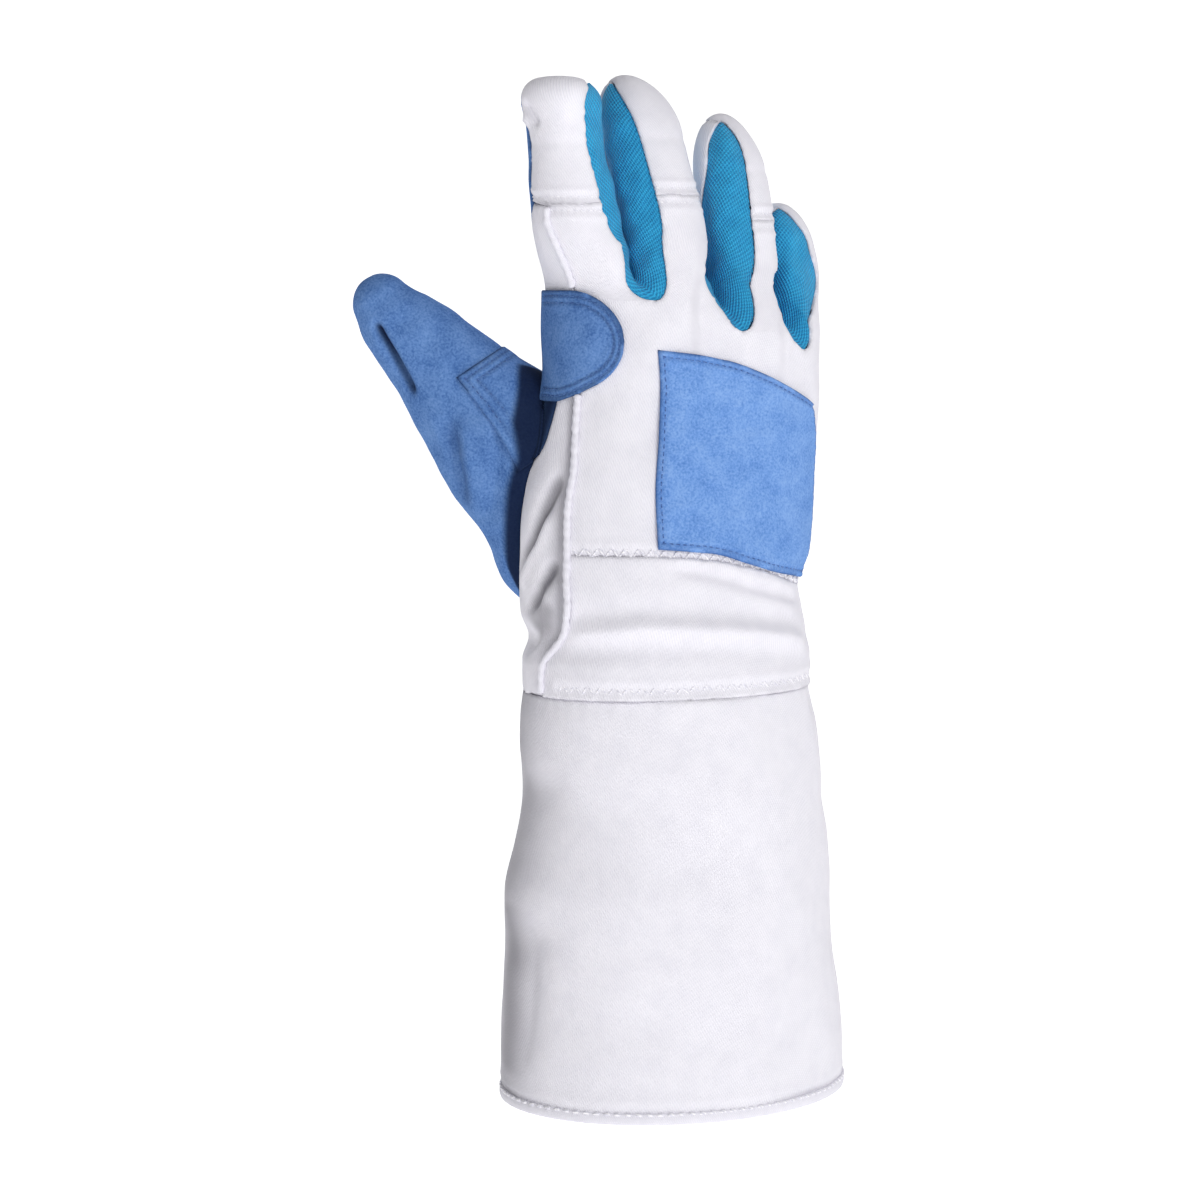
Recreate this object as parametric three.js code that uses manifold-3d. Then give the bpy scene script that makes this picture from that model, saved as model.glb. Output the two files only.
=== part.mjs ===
// Fencing glove for the right hand, in its worn form: back of the hand towards -Y, palm
// towards +Y, thumb towards -X and fingers up. The origin is the middle of the opening
// that the arm goes into, on the plane of the hem.
import * as THREE from 'three';
import { mergeVertices } from 'three/addons/utils/BufferGeometryUtils.js';
import Module from 'manifold-3d';

const wasm = await Module();
wasm.setup();

// Driving sizes in millimetres
const CUFF_LENGTH = 148;
const CUFF_WIDTH = 126;
const CUFF_DEPTH = 102;
const HAND_LENGTH = 140;
const HAND_WIDTH = 106;
const HAND_DEPTH = 48;
const INDEX_LENGTH = 76.5;
const MIDDLE_LENGTH = 78.5;
const RING_LENGTH = 65.5;
const PINKY_LENGTH = 34;
const THUMB_LENGTH = 105;
const THUMB_WIDTH = 56;
const THUMB_DEPTH = 34;
const PADDED_WALL = 2.8;
const CUFF_WALL = 2.4;
const SUEDE_WALL = 1.4;
const KNIT_WALL = 1.2;
const PATCH_WALL = 1.1;
const PIPING_RADIUS = 1.2;
const HEM_HEIGHT = 4.2;
const HEM_PROUD = 0.8;
const SEAM_GAP = 0.3;

// Clearances as multiples of the seam gap
const MARGIN_SHARE = 0.2;
const PANEL_END = 3 * SEAM_GAP;
const THUMB_CLEARANCE = 2.4 * SEAM_GAP;
const PATCH_MARGIN = 2 * SEAM_GAP;
const PIPING_END = 1;

// Heights and angles that follow from the driving sizes
const WRIST_Z = CUFF_LENGTH;
const KNUCKLE_Z = WRIST_Z + HAND_LENGTH;
const THUMB_TURN = -25;
const THUMB_TILT = 34;

// How finely each wall is divided
const CUFF_SIDES = 30;
const STRIP_SIDES = 6;
const LOWER_ROWS = 6;
const FORK_ROWS = 5;
const FINGER_ROWS = 2;
const KNIT_SIDES = 5;
const CAP_SIDES = 6;
// Rows above a fork stand closer together at its foot
const FORK_CROWDING = 0.55;
const CAP_LOWER_STEPS = [0, 0.57, 0.85, 1];
const CAP_UPPER_STEPS = [0.5, 0.85, 1];

// Cuff sections from the hem up: height as a share of CUFF_LENGTH, size and sideways
// shift as shares of CUFF_WIDTH and CUFF_DEPTH
const CUFF_SECTIONS = [
  { at: 0.0, width: 1.025, depth: 1.0, shift: 0.006 },
  { at: 0.1, width: 1.03, depth: 0.99, shift: 0.008 },
  { at: 0.25, width: 1.005, depth: 0.965, shift: 0.006 },
  { at: 0.4, width: 0.98, depth: 0.93, shift: -0.004 },
  { at: 0.52, width: 0.975, depth: 0.9, shift: -0.006 },
  { at: 0.63, width: 0.935, depth: 0.87, shift: 0.001 },
  { at: 0.74, width: 0.895, depth: 0.84, shift: 0.003 },
  { at: 0.85, width: 0.9, depth: 0.81, shift: -0.006 },
  { at: 0.94, width: 0.885, depth: 0.78, shift: -0.012 },
  { at: 1.0, width: 0.855, depth: 0.76, shift: -0.016 },
];

// Hand sections from the wrist up: height as a share of HAND_LENGTH, sizes and shift as
// shares of HAND_WIDTH and HAND_DEPTH, arch of the knuckles as a share of HAND_DEPTH,
// and the roundness of the section, where 2 is an ellipse
const HAND_SECTIONS = [
  { at: 0.0, width: 1.016, depth: 1.6, shift: -0.019, arch: 0.0, round: 2.1 },
  { at: 0.08, width: 1.025, depth: 1.54, shift: -0.022, arch: 0.0, round: 2.1 },
  { at: 0.14, width: 0.985, depth: 1.46, shift: -0.016, arch: 0.0, round: 2.1 },
  { at: 0.2, width: 1.0, depth: 1.4, shift: -0.032, arch: 0.02, round: 2.15 },
  { at: 0.26, width: 0.995, depth: 1.32, shift: -0.037, arch: 0.04, round: 2.2 },
  { at: 0.35, width: 1.03, depth: 1.24, shift: -0.012, arch: 0.08, round: 2.25 },
  { at: 0.51, width: 1.045, depth: 1.13, shift: 0.014, arch: 0.12, round: 2.3 },
  { at: 0.66, width: 1.02, depth: 1.04, shift: 0.054, arch: 0.14, round: 2.35 },
  { at: 0.815, width: 0.995, depth: 0.99, shift: 0.078, arch: 0.16, round: 2.4 },
  { at: 1.0, width: 1.0, depth: 0.92, shift: 0.08, arch: 0.17, round: 2.4 },
  { at: 1.115, width: 1.0, depth: 0.86, shift: 0.072, arch: 0.17, round: 2.4 },
];

// Edges of the side strip in degrees round the hand, by share of HAND_LENGTH: the piping
// on the back and the seam to the palm
const STRIP_EDGES = [
  { at: 0.0, piping: -79, palm: -125 },
  { at: 0.08, piping: -76, palm: -124 },
  { at: 0.13, piping: -70, palm: -123 },
  { at: 0.19, piping: -60, palm: -121 },
  { at: 0.26, piping: -57, palm: -119 },
  { at: 0.45, piping: -57, palm: -111 },
  { at: 0.55, piping: -56, palm: -98 },
  { at: 0.64, piping: -59, palm: -84 },
  { at: 0.75, piping: -62, palm: -80 },
  { at: 0.89, piping: -64, palm: -96 },
  { at: 1.0, piping: -65, palm: -112 },
  { at: 1.2, piping: -65, palm: -116 },
];

// Wrist seam, as a share of HAND_LENGTH above the cuff, by angle round the hand
const WRIST_SEAM = [
  { at: -80, height: 0.36 },
  { at: -20, height: 0.355 },
  { at: 0, height: 0.342 },
  { at: 20, height: 0.315 },
  { at: 70, height: 0.258 },
  { at: 180, height: 0.25 },
  { at: 236, height: 0.245 },
  { at: 260, height: 0.25 },
];

// Borders between the fingers: angle round the hand and height as a share of
// HAND_LENGTH, on the back, and on the palm, and the height of the web between
const FORKS = [
  { back: -23, backHeight: 0.99, palm: 202, palmHeight: 1.0, webHeight: 1.045 },
  { back: 6, backHeight: 0.912, palm: 174, palmHeight: 0.97, webHeight: 1.0 },
  { back: 42, backHeight: 0.863, palm: 146, palmHeight: 0.9, webHeight: 0.945 },
];
const OUTER_EDGE = { angle: 108, height: 0.86 };
const INNER_EDGE = { height: 1.0 };

// Fingers: middle of the root as shares of HAND_WIDTH and HAND_DEPTH, lean and curl of
// the tip as shares of the finger's length, width as a share of HAND_WIDTH, then the
// girth and the seams by place: 0 at the knuckles, 1 at the cross seam, 2 at the tip.
// Seams are the middle and half width of each side panel in degrees round the finger
const FINGERS = [
  {
    name: 'index', length: INDEX_LENGTH, rootX: -0.314, rootY: 0.04, lean: -0.158,
    curl: -0.037, width: 0.302, cap: 12, capPower: 2.6, capSeam: 0.45, crossSeam: 0.42,
    girths: [
      { at: -0.6, girth: 1.06 }, { at: 0.28, girth: 1.05 }, { at: 0.6, girth: 1.01 },
      { at: 0.92, girth: 0.965 }, { at: 1.15, girth: 0.93 }, { at: 1.37, girth: 0.84 },
      { at: 1.58, girth: 0.82 }, { at: 1.8, girth: 0.89 }, { at: 2, girth: 0.925 },
    ],
    seams: [
      { at: -0.2, left: -88, leftHalf: 28, right: 74, rightHalf: 45 },
      { at: 0.5, left: -88, leftHalf: 29, right: 73, rightHalf: 46 },
      { at: 0.8, left: -87, leftHalf: 24, right: 70, rightHalf: 49 },
      { at: 0.999, left: -80, leftHalf: 16, right: 68, rightHalf: 53 },
      { at: 1.001, left: -96, leftHalf: 0, right: 68, rightHalf: 53 },
      { at: 1.5, left: -96, leftHalf: 0, right: 64, rightHalf: 54 },
      { at: 1.8, left: -108, leftHalf: 0, right: 66, rightHalf: 54 },
    ],
  },
  {
    name: 'middle', length: MIDDLE_LENGTH, rootX: -0.022, rootY: -0.083, lean: -0.118,
    curl: 0.242, width: 0.294, cap: 20, capPower: 2, capSeam: 0.87, crossSeam: 0.45,
    girths: [
      { at: -0.6, girth: 0.98 }, { at: 0.4, girth: 0.99 }, { at: 1.05, girth: 1.0 },
      { at: 1.4, girth: 0.945 }, { at: 2, girth: 0.89 },
    ],
    seams: [
      { at: 0.0, left: -77, leftHalf: 41, right: 117, rightHalf: 30 },
      { at: 0.44, left: -74, leftHalf: 44, right: 117, rightHalf: 32 },
      { at: 0.75, left: -71, leftHalf: 47, right: 117, rightHalf: 33 },
      { at: 1.38, left: -73, leftHalf: 45, right: 117, rightHalf: 33 },
      { at: 1.6, left: -77, leftHalf: 46, right: 116, rightHalf: 33 },
      { at: 1.9, left: -81, leftHalf: 47, right: 115, rightHalf: 33 },
    ],
  },
  {
    name: 'ring', length: RING_LENGTH, rootX: 0.259, rootY: 0, lean: -0.024,
    curl: 0.213, width: 0.259, cap: 20, capPower: 2, capSeam: 0.87, crossSeam: 0.41,
    girths: [
      { at: -0.8, girth: 1.005 }, { at: 0.3, girth: 1.005 }, { at: 1.1, girth: 0.99 },
      { at: 1.45, girth: 0.94 }, { at: 2, girth: 0.86 },
    ],
    seams: [
      { at: 0.0, left: -61, leftHalf: 54, right: 128, rightHalf: 30 },
      { at: 0.58, left: -57, leftHalf: 55, right: 128, rightHalf: 32 },
      { at: 1.0, left: -53, leftHalf: 51, right: 128, rightHalf: 32 },
      { at: 1.25, left: -43, leftHalf: 43, right: 128, rightHalf: 32 },
      { at: 1.55, left: -32, leftHalf: 35, right: 127, rightHalf: 32 },
      { at: 1.8, left: -30, leftHalf: 39, right: 126, rightHalf: 32 },
    ],
  },
  {
    name: 'pinky', length: PINKY_LENGTH, rootX: 0.49, rootY: 0.23, lean: -0.01,
    curl: 0.2, width: 0.236, cap: 14, capPower: 2, capSeam: 0.87, crossSeam: 0.55,
    girths: [
      { at: -1, girth: 1.0 }, { at: 0.4, girth: 0.96 }, { at: 0.9, girth: 0.91 },
      { at: 2, girth: 0.8 },
    ],
    seams: [
      { at: -0.3, left: -27, leftHalf: 88, right: 128, rightHalf: 0 },
      { at: 0.28, left: -27, leftHalf: 85, right: 128, rightHalf: 0 },
      { at: 0.55, left: -28, leftHalf: 75, right: 128, rightHalf: 0 },
      { at: 0.8, left: -28, leftHalf: 63, right: 128, rightHalf: 0 },
      { at: 1.2, left: -27, leftHalf: 55, right: 128, rightHalf: 0 },
      { at: 1.5, left: -28, leftHalf: 48, right: 128, rightHalf: 0 },
    ],
  },
];

// How late along a finger its curl sets in
const CURL_POWER = 1.6;

// Thumb: base as shares of HAND_WIDTH, HAND_DEPTH and HAND_LENGTH, and sections from
// the base up: share of THUMB_LENGTH, offset towards the hand and width as shares of
// THUMB_WIDTH, depth as a share of THUMB_DEPTH
const THUMB_BASE = { x: -0.41, y: 0.5, height: 0.43 };
const THUMB_SECTIONS = [
  { at: -0.26, offset: -0.01, width: 0.6, depth: 0.5 },
  { at: -0.2, offset: 0.013, width: 0.77, depth: 0.66 },
  { at: -0.1, offset: 0.064, width: 0.9, depth: 0.85 },
  { at: 0.06, offset: 0.148, width: 0.97, depth: 1.05 },
  { at: 0.18, offset: 0.15, width: 1.0, depth: 1.06 },
  { at: 0.3, offset: 0.135, width: 0.945, depth: 1.0 },
  { at: 0.435, offset: 0.103, width: 0.81, depth: 0.9 },
  { at: 0.6, offset: 0.058, width: 0.67, depth: 0.8 },
  { at: 0.75, offset: 0.02, width: 0.58, depth: 0.74 },
  { at: 0.83, offset: -0.013, width: 0.5, depth: 0.7 },
  { at: 0.93, offset: -0.03, width: 0.37, depth: 0.62 },
  { at: 1.0, offset: -0.026, width: 0.33, depth: 0.58 },
];
const THUMB_ROUND = 2.2;
const THUMB_CAP = 8;

// Patch on the back of the hand: angle round the hand, top and bottom as shares of
// HAND_LENGTH
const BACK_PATCH_EDGES = [
  { at: 0.0, angle: -20, top: 0.868, bottom: 0.374 },
  { at: 0.2, angle: -3, top: 0.853, bottom: 0.361 },
  { at: 0.42, angle: 14, top: 0.816, bottom: 0.328 },
  { at: 0.66, angle: 34, top: 0.774, bottom: 0.298 },
  { at: 1.0, angle: 63, top: 0.725, bottom: 0.275 },
];
// D-shaped patch below the index finger: straight from outer to bend, then round
const KNUCKLE_PATCH = { middle: 0.889, half: 0.124, outer: -100, bend: -66, tip: -33.5 };
const KNUCKLE_PATCH_ROUND = 2.2;
// Patch on the thumb at its crotch: angle round the thumb of its free and hidden edge,
// by share of THUMB_LENGTH
const THUMB_PATCH_EDGES = [
  { at: 0.17, free: -4, hidden: 96 },
  { at: 0.33, free: 0, hidden: 96 },
  { at: 0.55, free: 4, hidden: 84 },
];

const DEGREE = Math.PI / 180;
const mix = (a, b, share) => a + (b - a) * share;
const clamp = (value) => Math.min(Math.max(value, 0), 1);
const signedPower = (value, power) => Math.sign(value) * Math.abs(value) ** power;
const blend = (a, b, share) => a.map((value, i) => mix(value, b[i], share));

function ease(value) {
  const t = clamp(value);
  return t * t * (3 - 2 * t);
}

// Slope of a table column at one row, zero at a peak, so that a curve never overshoots
function tableSlope(table, row, column) {
  const secant = (i) => {
    const rise = table[i + 1][column] - table[i][column];
    return rise / (table[i + 1].at - table[i].at);
  };
  if (row === 0) {
    return secant(0);
  }
  if (row === table.length - 1) {
    return secant(row - 1);
  }
  const before = secant(row - 1);
  const after = secant(row);
  return before * after <= 0 ? 0 : (2 * before * after) / (before + after);
}

// Value of a table column at a place between its rows, along a smooth curve
function along(table, at, column) {
  let row = 0;
  while (row < table.length - 2 && at > table[row + 1].at) {
    row += 1;
  }
  const span = table[row + 1].at - table[row].at;
  const t = clamp((at - table[row].at) / span);
  const start = table[row][column];
  const end = table[row + 1][column];
  const startSlope = tableSlope(table, row, column) * span;
  const endSlope = tableSlope(table, row + 1, column) * span;
  const square = t * t;
  const cube = square * t;
  return (
    start * (2 * cube - 3 * square + 1) +
    startSlope * (cube - 2 * square + t) +
    end * (3 * square - 2 * cube) +
    endSlope * (cube - square)
  );
}

// Points on the forms. Depth is measured inwards from the outer face, so a wall has its
// outer face at depth 0 and a patch lies at negative depth
function cuffPoint(angle, z, depth) {
  const at = z / CUFF_LENGTH;
  const width = (along(CUFF_SECTIONS, at, 'width') * CUFF_WIDTH) / 2 - depth;
  const thick = (along(CUFF_SECTIONS, at, 'depth') * CUFF_DEPTH) / 2 - depth;
  const x = along(CUFF_SECTIONS, at, 'shift') * CUFF_WIDTH;
  return [x + width * Math.sin(angle * DEGREE), -thick * Math.cos(angle * DEGREE), z];
}

function handPoint(angle, z, depth) {
  const at = (z - WRIST_Z) / HAND_LENGTH;
  const width = (along(HAND_SECTIONS, at, 'width') * HAND_WIDTH) / 2 - depth;
  const thick = (along(HAND_SECTIONS, at, 'depth') * HAND_DEPTH) / 2 - depth;
  const x = along(HAND_SECTIONS, at, 'shift') * HAND_WIDTH;
  const arch = along(HAND_SECTIONS, at, 'arch') * HAND_DEPTH;
  const power = 2 / along(HAND_SECTIONS, at, 'round');
  const across = signedPower(Math.sin(angle * DEGREE), power);
  const back = signedPower(Math.cos(angle * DEGREE), power);
  return [x + width * across, -thick * back + arch * across * across, z];
}

const tipOf = (finger) => KNUCKLE_Z + finger.length;
const crossSeamOf = (finger) => KNUCKLE_Z + finger.length * finger.crossSeam;

// Place along a finger: 0 at the knuckles, 1 at the cross seam, 2 at the tip
function fingerPlace(finger, z) {
  const seam = crossSeamOf(finger);
  if (z < seam) {
    return (z - KNUCKLE_Z) / (seam - KNUCKLE_Z);
  }
  return 1 + (z - seam) / (tipOf(finger) - seam);
}

function fingerPoint(finger, angle, z, depth) {
  const tip = tipOf(finger);
  const girth = along(finger.girths, fingerPlace(finger, z), 'girth');
  const radius = (girth * finger.width * HAND_WIDTH) / 2;
  const cap = clamp((z - tip + finger.cap) / finger.cap);
  const closing = (1 - cap ** finger.capPower) ** (1 / finger.capPower);
  const reach = (z - KNUCKLE_Z) / finger.length;
  const bend = signedPower(reach, CURL_POWER);
  const x = finger.rootX * HAND_WIDTH + finger.lean * finger.length * reach;
  const y = finger.rootY * HAND_DEPTH + finger.curl * finger.length * bend;
  const round = (radius - depth) * closing;
  return [
    x + round * Math.sin(angle * DEGREE),
    y - round * Math.cos(angle * DEGREE),
    z - depth * cap,
  ];
}

// Heights of a finger's rows on one border, from the fork to the tip
function fingerLevels(finger, forkZ) {
  const tip = tipOf(finger);
  const seam = crossSeamOf(finger);
  const capStart = tip - finger.cap;
  const levels = [];
  for (let i = 0; i < FORK_ROWS; i += 1) {
    const t = i / FORK_ROWS;
    levels.push(mix(forkZ, seam, t * mix(1, t, FORK_CROWDING)));
  }
  for (let i = 0; i < FINGER_ROWS; i += 1) {
    levels.push(mix(seam, capStart, i / FINGER_ROWS));
  }
  for (const step of CAP_LOWER_STEPS) {
    levels.push(capStart + finger.cap * finger.capSeam * step);
  }
  for (const step of CAP_UPPER_STEPS) {
    levels.push(capStart + finger.cap * mix(finger.capSeam, 1, step));
  }
  return levels;
}

const SEAM_ROW = FORK_ROWS;
const CAP_SEAM_ROW = FORK_ROWS + FINGER_ROWS + CAP_LOWER_STEPS.length - 1;

// Angles of the four seams of a finger at one height. The side panels narrow to a point
// at the seam of the fingertip's cap
function fingerSeams(finger, z) {
  const place = fingerPlace(finger, z);
  const cap = (z - tipOf(finger) + finger.cap) / finger.cap;
  const open = Math.sqrt(1 - clamp(cap / finger.capSeam) ** 2);
  const left = along(finger.seams, place, 'left');
  const right = along(finger.seams, place, 'right');
  const leftHalf = along(finger.seams, place, 'leftHalf') * open;
  const rightHalf = along(finger.seams, place, 'rightHalf') * open;
  return {
    backLeft: left + leftHalf,
    backRight: right - rightHalf,
    frontLeft: left - leftHalf + 360,
    frontRight: right + rightHalf,
  };
}

const handShare = (z) => (z - WRIST_Z) / HAND_LENGTH;
const handZ = (share) => WRIST_Z + share * HAND_LENGTH;
const pipingAngle = (z) => along(STRIP_EDGES, handShare(z), 'piping');
const stripPalmAngle = (z) => along(STRIP_EDGES, handShare(z), 'palm') + 360;
const wristZ = (angle) => handZ(along(WRIST_SEAM, angle, 'height'));

// Borders of a finger's back and front strips on the hand
function handBorders(index) {
  const before = FORKS[index - 1];
  const after = FORKS[index];
  return {
    backLeft: (z) => (before ? before.back : pipingAngle(z)),
    backRight: () => (after ? after.back : OUTER_EDGE.angle),
    frontLeft: (z) => (before ? before.palm : stripPalmAngle(z)),
    frontRight: () => (after ? after.palm : OUTER_EDGE.angle),
    backLeftFork: handZ(before ? before.backHeight : INNER_EDGE.height),
    backRightFork: handZ(after ? after.backHeight : OUTER_EDGE.height),
    frontLeftFork: handZ(before ? before.palmHeight : INNER_EDGE.height),
    frontRightFork: handZ(after ? after.palmHeight : OUTER_EDGE.height),
  };
}

// How far a strip has turned from the hand's section into the finger's own
const RISE = 0.19;
const FORK_OPENING = 0.1;
const WRIST_TOP = handZ(WRIST_SEAM[0].height);
const fingerShare = (z, forkZ) => ease((z - forkZ) / (RISE * HAND_LENGTH));

// Point between a place on the hand and a place on a finger
function turningPoint(finger, handAngle, fingerAngle, forkZ, z, depth) {
  const turn = fingerShare(z, forkZ);
  const onFinger = fingerPoint(finger, fingerAngle, z, depth);
  return turn === 1 ? onFinger : blend(handPoint(handAngle, z, depth), onFinger, turn);
}

// The side strip stands further back from its seams than the others
const SIDE_SPARE = 1.8;

// Strips of a finger: on the back, on the front and, beside the index finger, at the
// side. Each gives its point for a share across it and its border heights at the forks.
// Shares run round the hand: back from the thumb side out, front from outside in
function backStrip(index) {
  const finger = FINGERS[index];
  const borders = handBorders(index);
  const forkAt = (share) => mix(borders.backLeftFork, borders.backRightFork, share);
  const wristAngle = (share) => mix(borders.backLeft(WRIST_TOP), borders.backRight(), share);
  return {
    finger,
    spare: 1,
    forkAt,
    lowAt: (share) => wristZ(wristAngle(share)),
    pointAt: (share, z, depth) => {
      const seams = fingerSeams(finger, z);
      const handAngle = mix(borders.backLeft(z), borders.backRight(), share);
      const fingerAngle = mix(seams.backLeft, seams.backRight, share);
      return turningPoint(finger, handAngle, fingerAngle, forkAt(share), z, depth);
    },
  };
}

function frontStrip(index) {
  const finger = FINGERS[index];
  const borders = handBorders(index);
  const forkAt = (share) => mix(borders.frontRightFork, borders.frontLeftFork, share);
  const wristAngle = (share) => mix(borders.frontRight(), borders.frontLeft(WRIST_TOP), share);
  return {
    finger,
    spare: 1,
    forkAt,
    lowAt: (share) => wristZ(wristAngle(share)),
    pointAt: (share, z, depth) => {
      const seams = fingerSeams(finger, z);
      const handAngle = mix(borders.frontRight(), borders.frontLeft(z), share);
      const fingerAngle = mix(seams.frontRight, seams.frontLeft, share);
      return turningPoint(finger, handAngle, fingerAngle, forkAt(share), z, depth);
    },
  };
}

function sideStrip() {
  const finger = FINGERS[0];
  const forkZ = handZ(INNER_EDGE.height);
  const palmLow = wristZ(stripPalmAngle(WRIST_TOP));
  const backLow = wristZ(pipingAngle(WRIST_TOP));
  return {
    finger,
    spare: SIDE_SPARE,
    forkAt: () => forkZ,
    lowAt: (share) => mix(palmLow, backLow, share),
    pointAt: (share, z, depth) => {
      const seams = fingerSeams(finger, z);
      const handAngle = mix(stripPalmAngle(z) - 360, pipingAngle(z), share);
      const fingerAngle = mix(seams.frontLeft - 360, seams.backLeft, share);
      return turningPoint(finger, handAngle, fingerAngle, forkZ, z, depth);
    },
  };
}

// Triangles of a closed wall over a grid of outer and inner points. The grid is open on
// four sides, or closed round its columns
function wallTriangles(grid, closed) {
  const rows = grid.length;
  const columns = grid[0].length;
  const triangles = [];
  const quad = (a, b, c, d) => triangles.push([a, b, c], [a, c, d]);
  const next = (i) => (closed ? (i + 1) % columns : i + 1);
  const across = closed ? columns : columns - 1;
  for (let j = 0; j < rows - 1; j += 1) {
    for (let i = 0; i < across; i += 1) {
      const a = grid[j][i];
      const b = grid[j][next(i)];
      const c = grid[j + 1][next(i)];
      const d = grid[j + 1][i];
      quad(a.outer, b.outer, c.outer, d.outer);
      quad(d.inner, c.inner, b.inner, a.inner);
    }
  }
  const top = rows - 1;
  for (let i = 0; i < across; i += 1) {
    const k = next(i);
    quad(grid[0][i].inner, grid[0][k].inner, grid[0][k].outer, grid[0][i].outer);
    quad(grid[top][i].inner, grid[top][i].outer, grid[top][k].outer, grid[top][k].inner);
  }
  for (let j = 0; j < rows - 1 && !closed; j += 1) {
    const left = [grid[j][0], grid[j + 1][0]];
    const right = [grid[j][columns - 1], grid[j + 1][columns - 1]];
    quad(left[0].inner, left[0].outer, left[1].outer, left[1].inner);
    quad(right[0].inner, right[1].inner, right[1].outer, right[0].outer);
  }
  return triangles;
}

// Grid of a wall, from a function that gives the point for a column, a row and a depth
function wallGrid(columns, rows, outer, inner, pointAt) {
  const grid = [];
  for (let j = 0; j <= rows; j += 1) {
    const line = [];
    for (let i = 0; i <= columns; i += 1) {
      line.push({ outer: pointAt(i, j, outer), inner: pointAt(i, j, inner) });
    }
    grid.push(line);
  }
  return grid;
}

// One closed body from triangles: equal corners are joined, flat triangles are dropped,
// and two faces that meet back to back, where strips are joined, cancel out
const GRAIN = 1e-4;
function weld(triangles) {
  const places = new Map();
  const points = [];
  const faces = new Map();
  const idOf = (point) => {
    const key = point.map((value) => Math.round(value / GRAIN)).join(' ');
    if (!places.has(key)) {
      places.set(key, points.length);
      points.push(point);
    }
    return places.get(key);
  };
  for (const triangle of triangles) {
    const ids = triangle.map(idOf);
    if (new Set(ids).size < 3) {
      continue;
    }
    const sorted = [...ids].sort((a, b) => a - b);
    const key = sorted.join(' ');
    const first = ids.indexOf(sorted[0]);
    const turn = ids[(first + 1) % 3] === sorted[1] ? 1 : -1;
    const held = faces.get(key);
    if (held && held.turn === -turn) {
      faces.delete(key);
    } else {
      faces.set(key, { ids, turn });
    }
  }
  const geometry = new THREE.BufferGeometry();
  geometry.setAttribute('position', new THREE.Float32BufferAttribute(points.flat(), 3));
  geometry.setIndex([...faces.values()].flatMap((face) => face.ids));
  return geometry;
}

// Joins and cuts
function solidOf(geometry) {
  const bare = mergeVertices(geometry, GRAIN);
  const mesh = new wasm.Mesh({
    numProp: 3,
    vertProperties: new Float32Array(bare.attributes.position.array),
    triVerts: new Uint32Array(bare.index.array),
  });
  return new wasm.Manifold(mesh);
}

function geometryOf(solid) {
  const mesh = solid.getMesh();
  const geometry = new THREE.BufferGeometry();
  geometry.setAttribute('position', new THREE.BufferAttribute(mesh.vertProperties, 3));
  geometry.setIndex(new THREE.BufferAttribute(mesh.triVerts, 1));
  return geometry;
}

function largest(solid) {
  const bodies = solid.decompose();
  return bodies.reduce((a, b) => (b.volume() > a.volume() ? b : a));
}

const HALF_GAP = SEAM_GAP / 2;
const distance = (a, b) => Math.hypot(...a.map((value, i) => value - b[i]));

// Share of a strip's width that half a seam gap takes
function edgeMargin(strip, z) {
  const width = 2 * distance(strip.pointAt(0, z, 0), strip.pointAt(0.5, z, 0));
  return Math.min((strip.spare * HALF_GAP) / Math.max(width, HALF_GAP), MARGIN_SHARE);
}

// Height of a strip's row: rows on the hand run from the wrist to the fork, rows on the
// finger from there to the tip
function stripZ(strip, share, row) {
  const forkZ = strip.forkAt(share);
  if (row <= LOWER_ROWS) {
    return mix(strip.lowAt(share), forkZ, row / LOWER_ROWS);
  }
  return fingerLevels(strip.finger, forkZ)[row - LOWER_ROWS];
}

// A wall grown to cut its neighbour reaches over its sides by this share of its margin
const GROW_SHARE = 0.6;

// Wall of a strip between two rows. Its sides stand half a seam gap back, apart from
// the stretch on the hand where it is joined to its neighbour, and its ends where asked
function stripTriangles(strip, wall, from, to, edges) {
  const grow = edges.grow ?? 0;
  const grid = wallGrid(STRIP_SIDES, to - from, -grow, wall + grow, (i, j, depth) => {
    const row = from + j;
    const share = i / STRIP_SIDES;
    const level = stripZ(strip, share, row);
    const cut = (j === 0 ? edges.low : 0) - (row === to ? edges.high : 0);
    const margin = edgeMargin(strip, level + cut) * (grow > 0 ? -GROW_SHARE : 1);
    const onHand = row <= LOWER_ROWS;
    const start = onHand && edges.joinStart ? 0 : margin;
    const end = onHand && edges.joinEnd ? 1 : 1 - margin;
    return strip.pointAt(mix(start, end, share), level + cut, depth);
  });
  return wallTriangles(grid, false);
}

const SEAM_LEVEL = LOWER_ROWS + SEAM_ROW;
const CAP_SEAM_LEVEL = LOWER_ROWS + CAP_SEAM_ROW;

// Cap of a fingertip: its ring starts with the columns of the back strip below it and
// goes on round the front
function capTriangles(strip) {
  const finger = strip.finger;
  const levels = fingerLevels(finger, strip.forkAt(0)).slice(CAP_SEAM_ROW);
  const seams = fingerSeams(finger, levels[0]);
  const margin = edgeMargin(strip, levels[0]);
  const angleAt = (share) => mix(seams.backLeft, seams.backRight, share);
  const angles = [];
  for (let i = 0; i <= STRIP_SIDES; i += 1) {
    angles.push(angleAt(mix(margin, 1 - margin, i / STRIP_SIDES)));
  }
  const last = angles[STRIP_SIDES];
  for (let i = 1; i < CAP_SIDES; i += 1) {
    angles.push(mix(last, angles[0] + 360, i / CAP_SIDES));
  }
  const grid = wallGrid(angles.length - 1, levels.length - 1, 0, PADDED_WALL, (i, j, depth) =>
    fingerPoint(finger, angles[i], levels[j], depth));
  return wallTriangles(grid, true);
}

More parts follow.
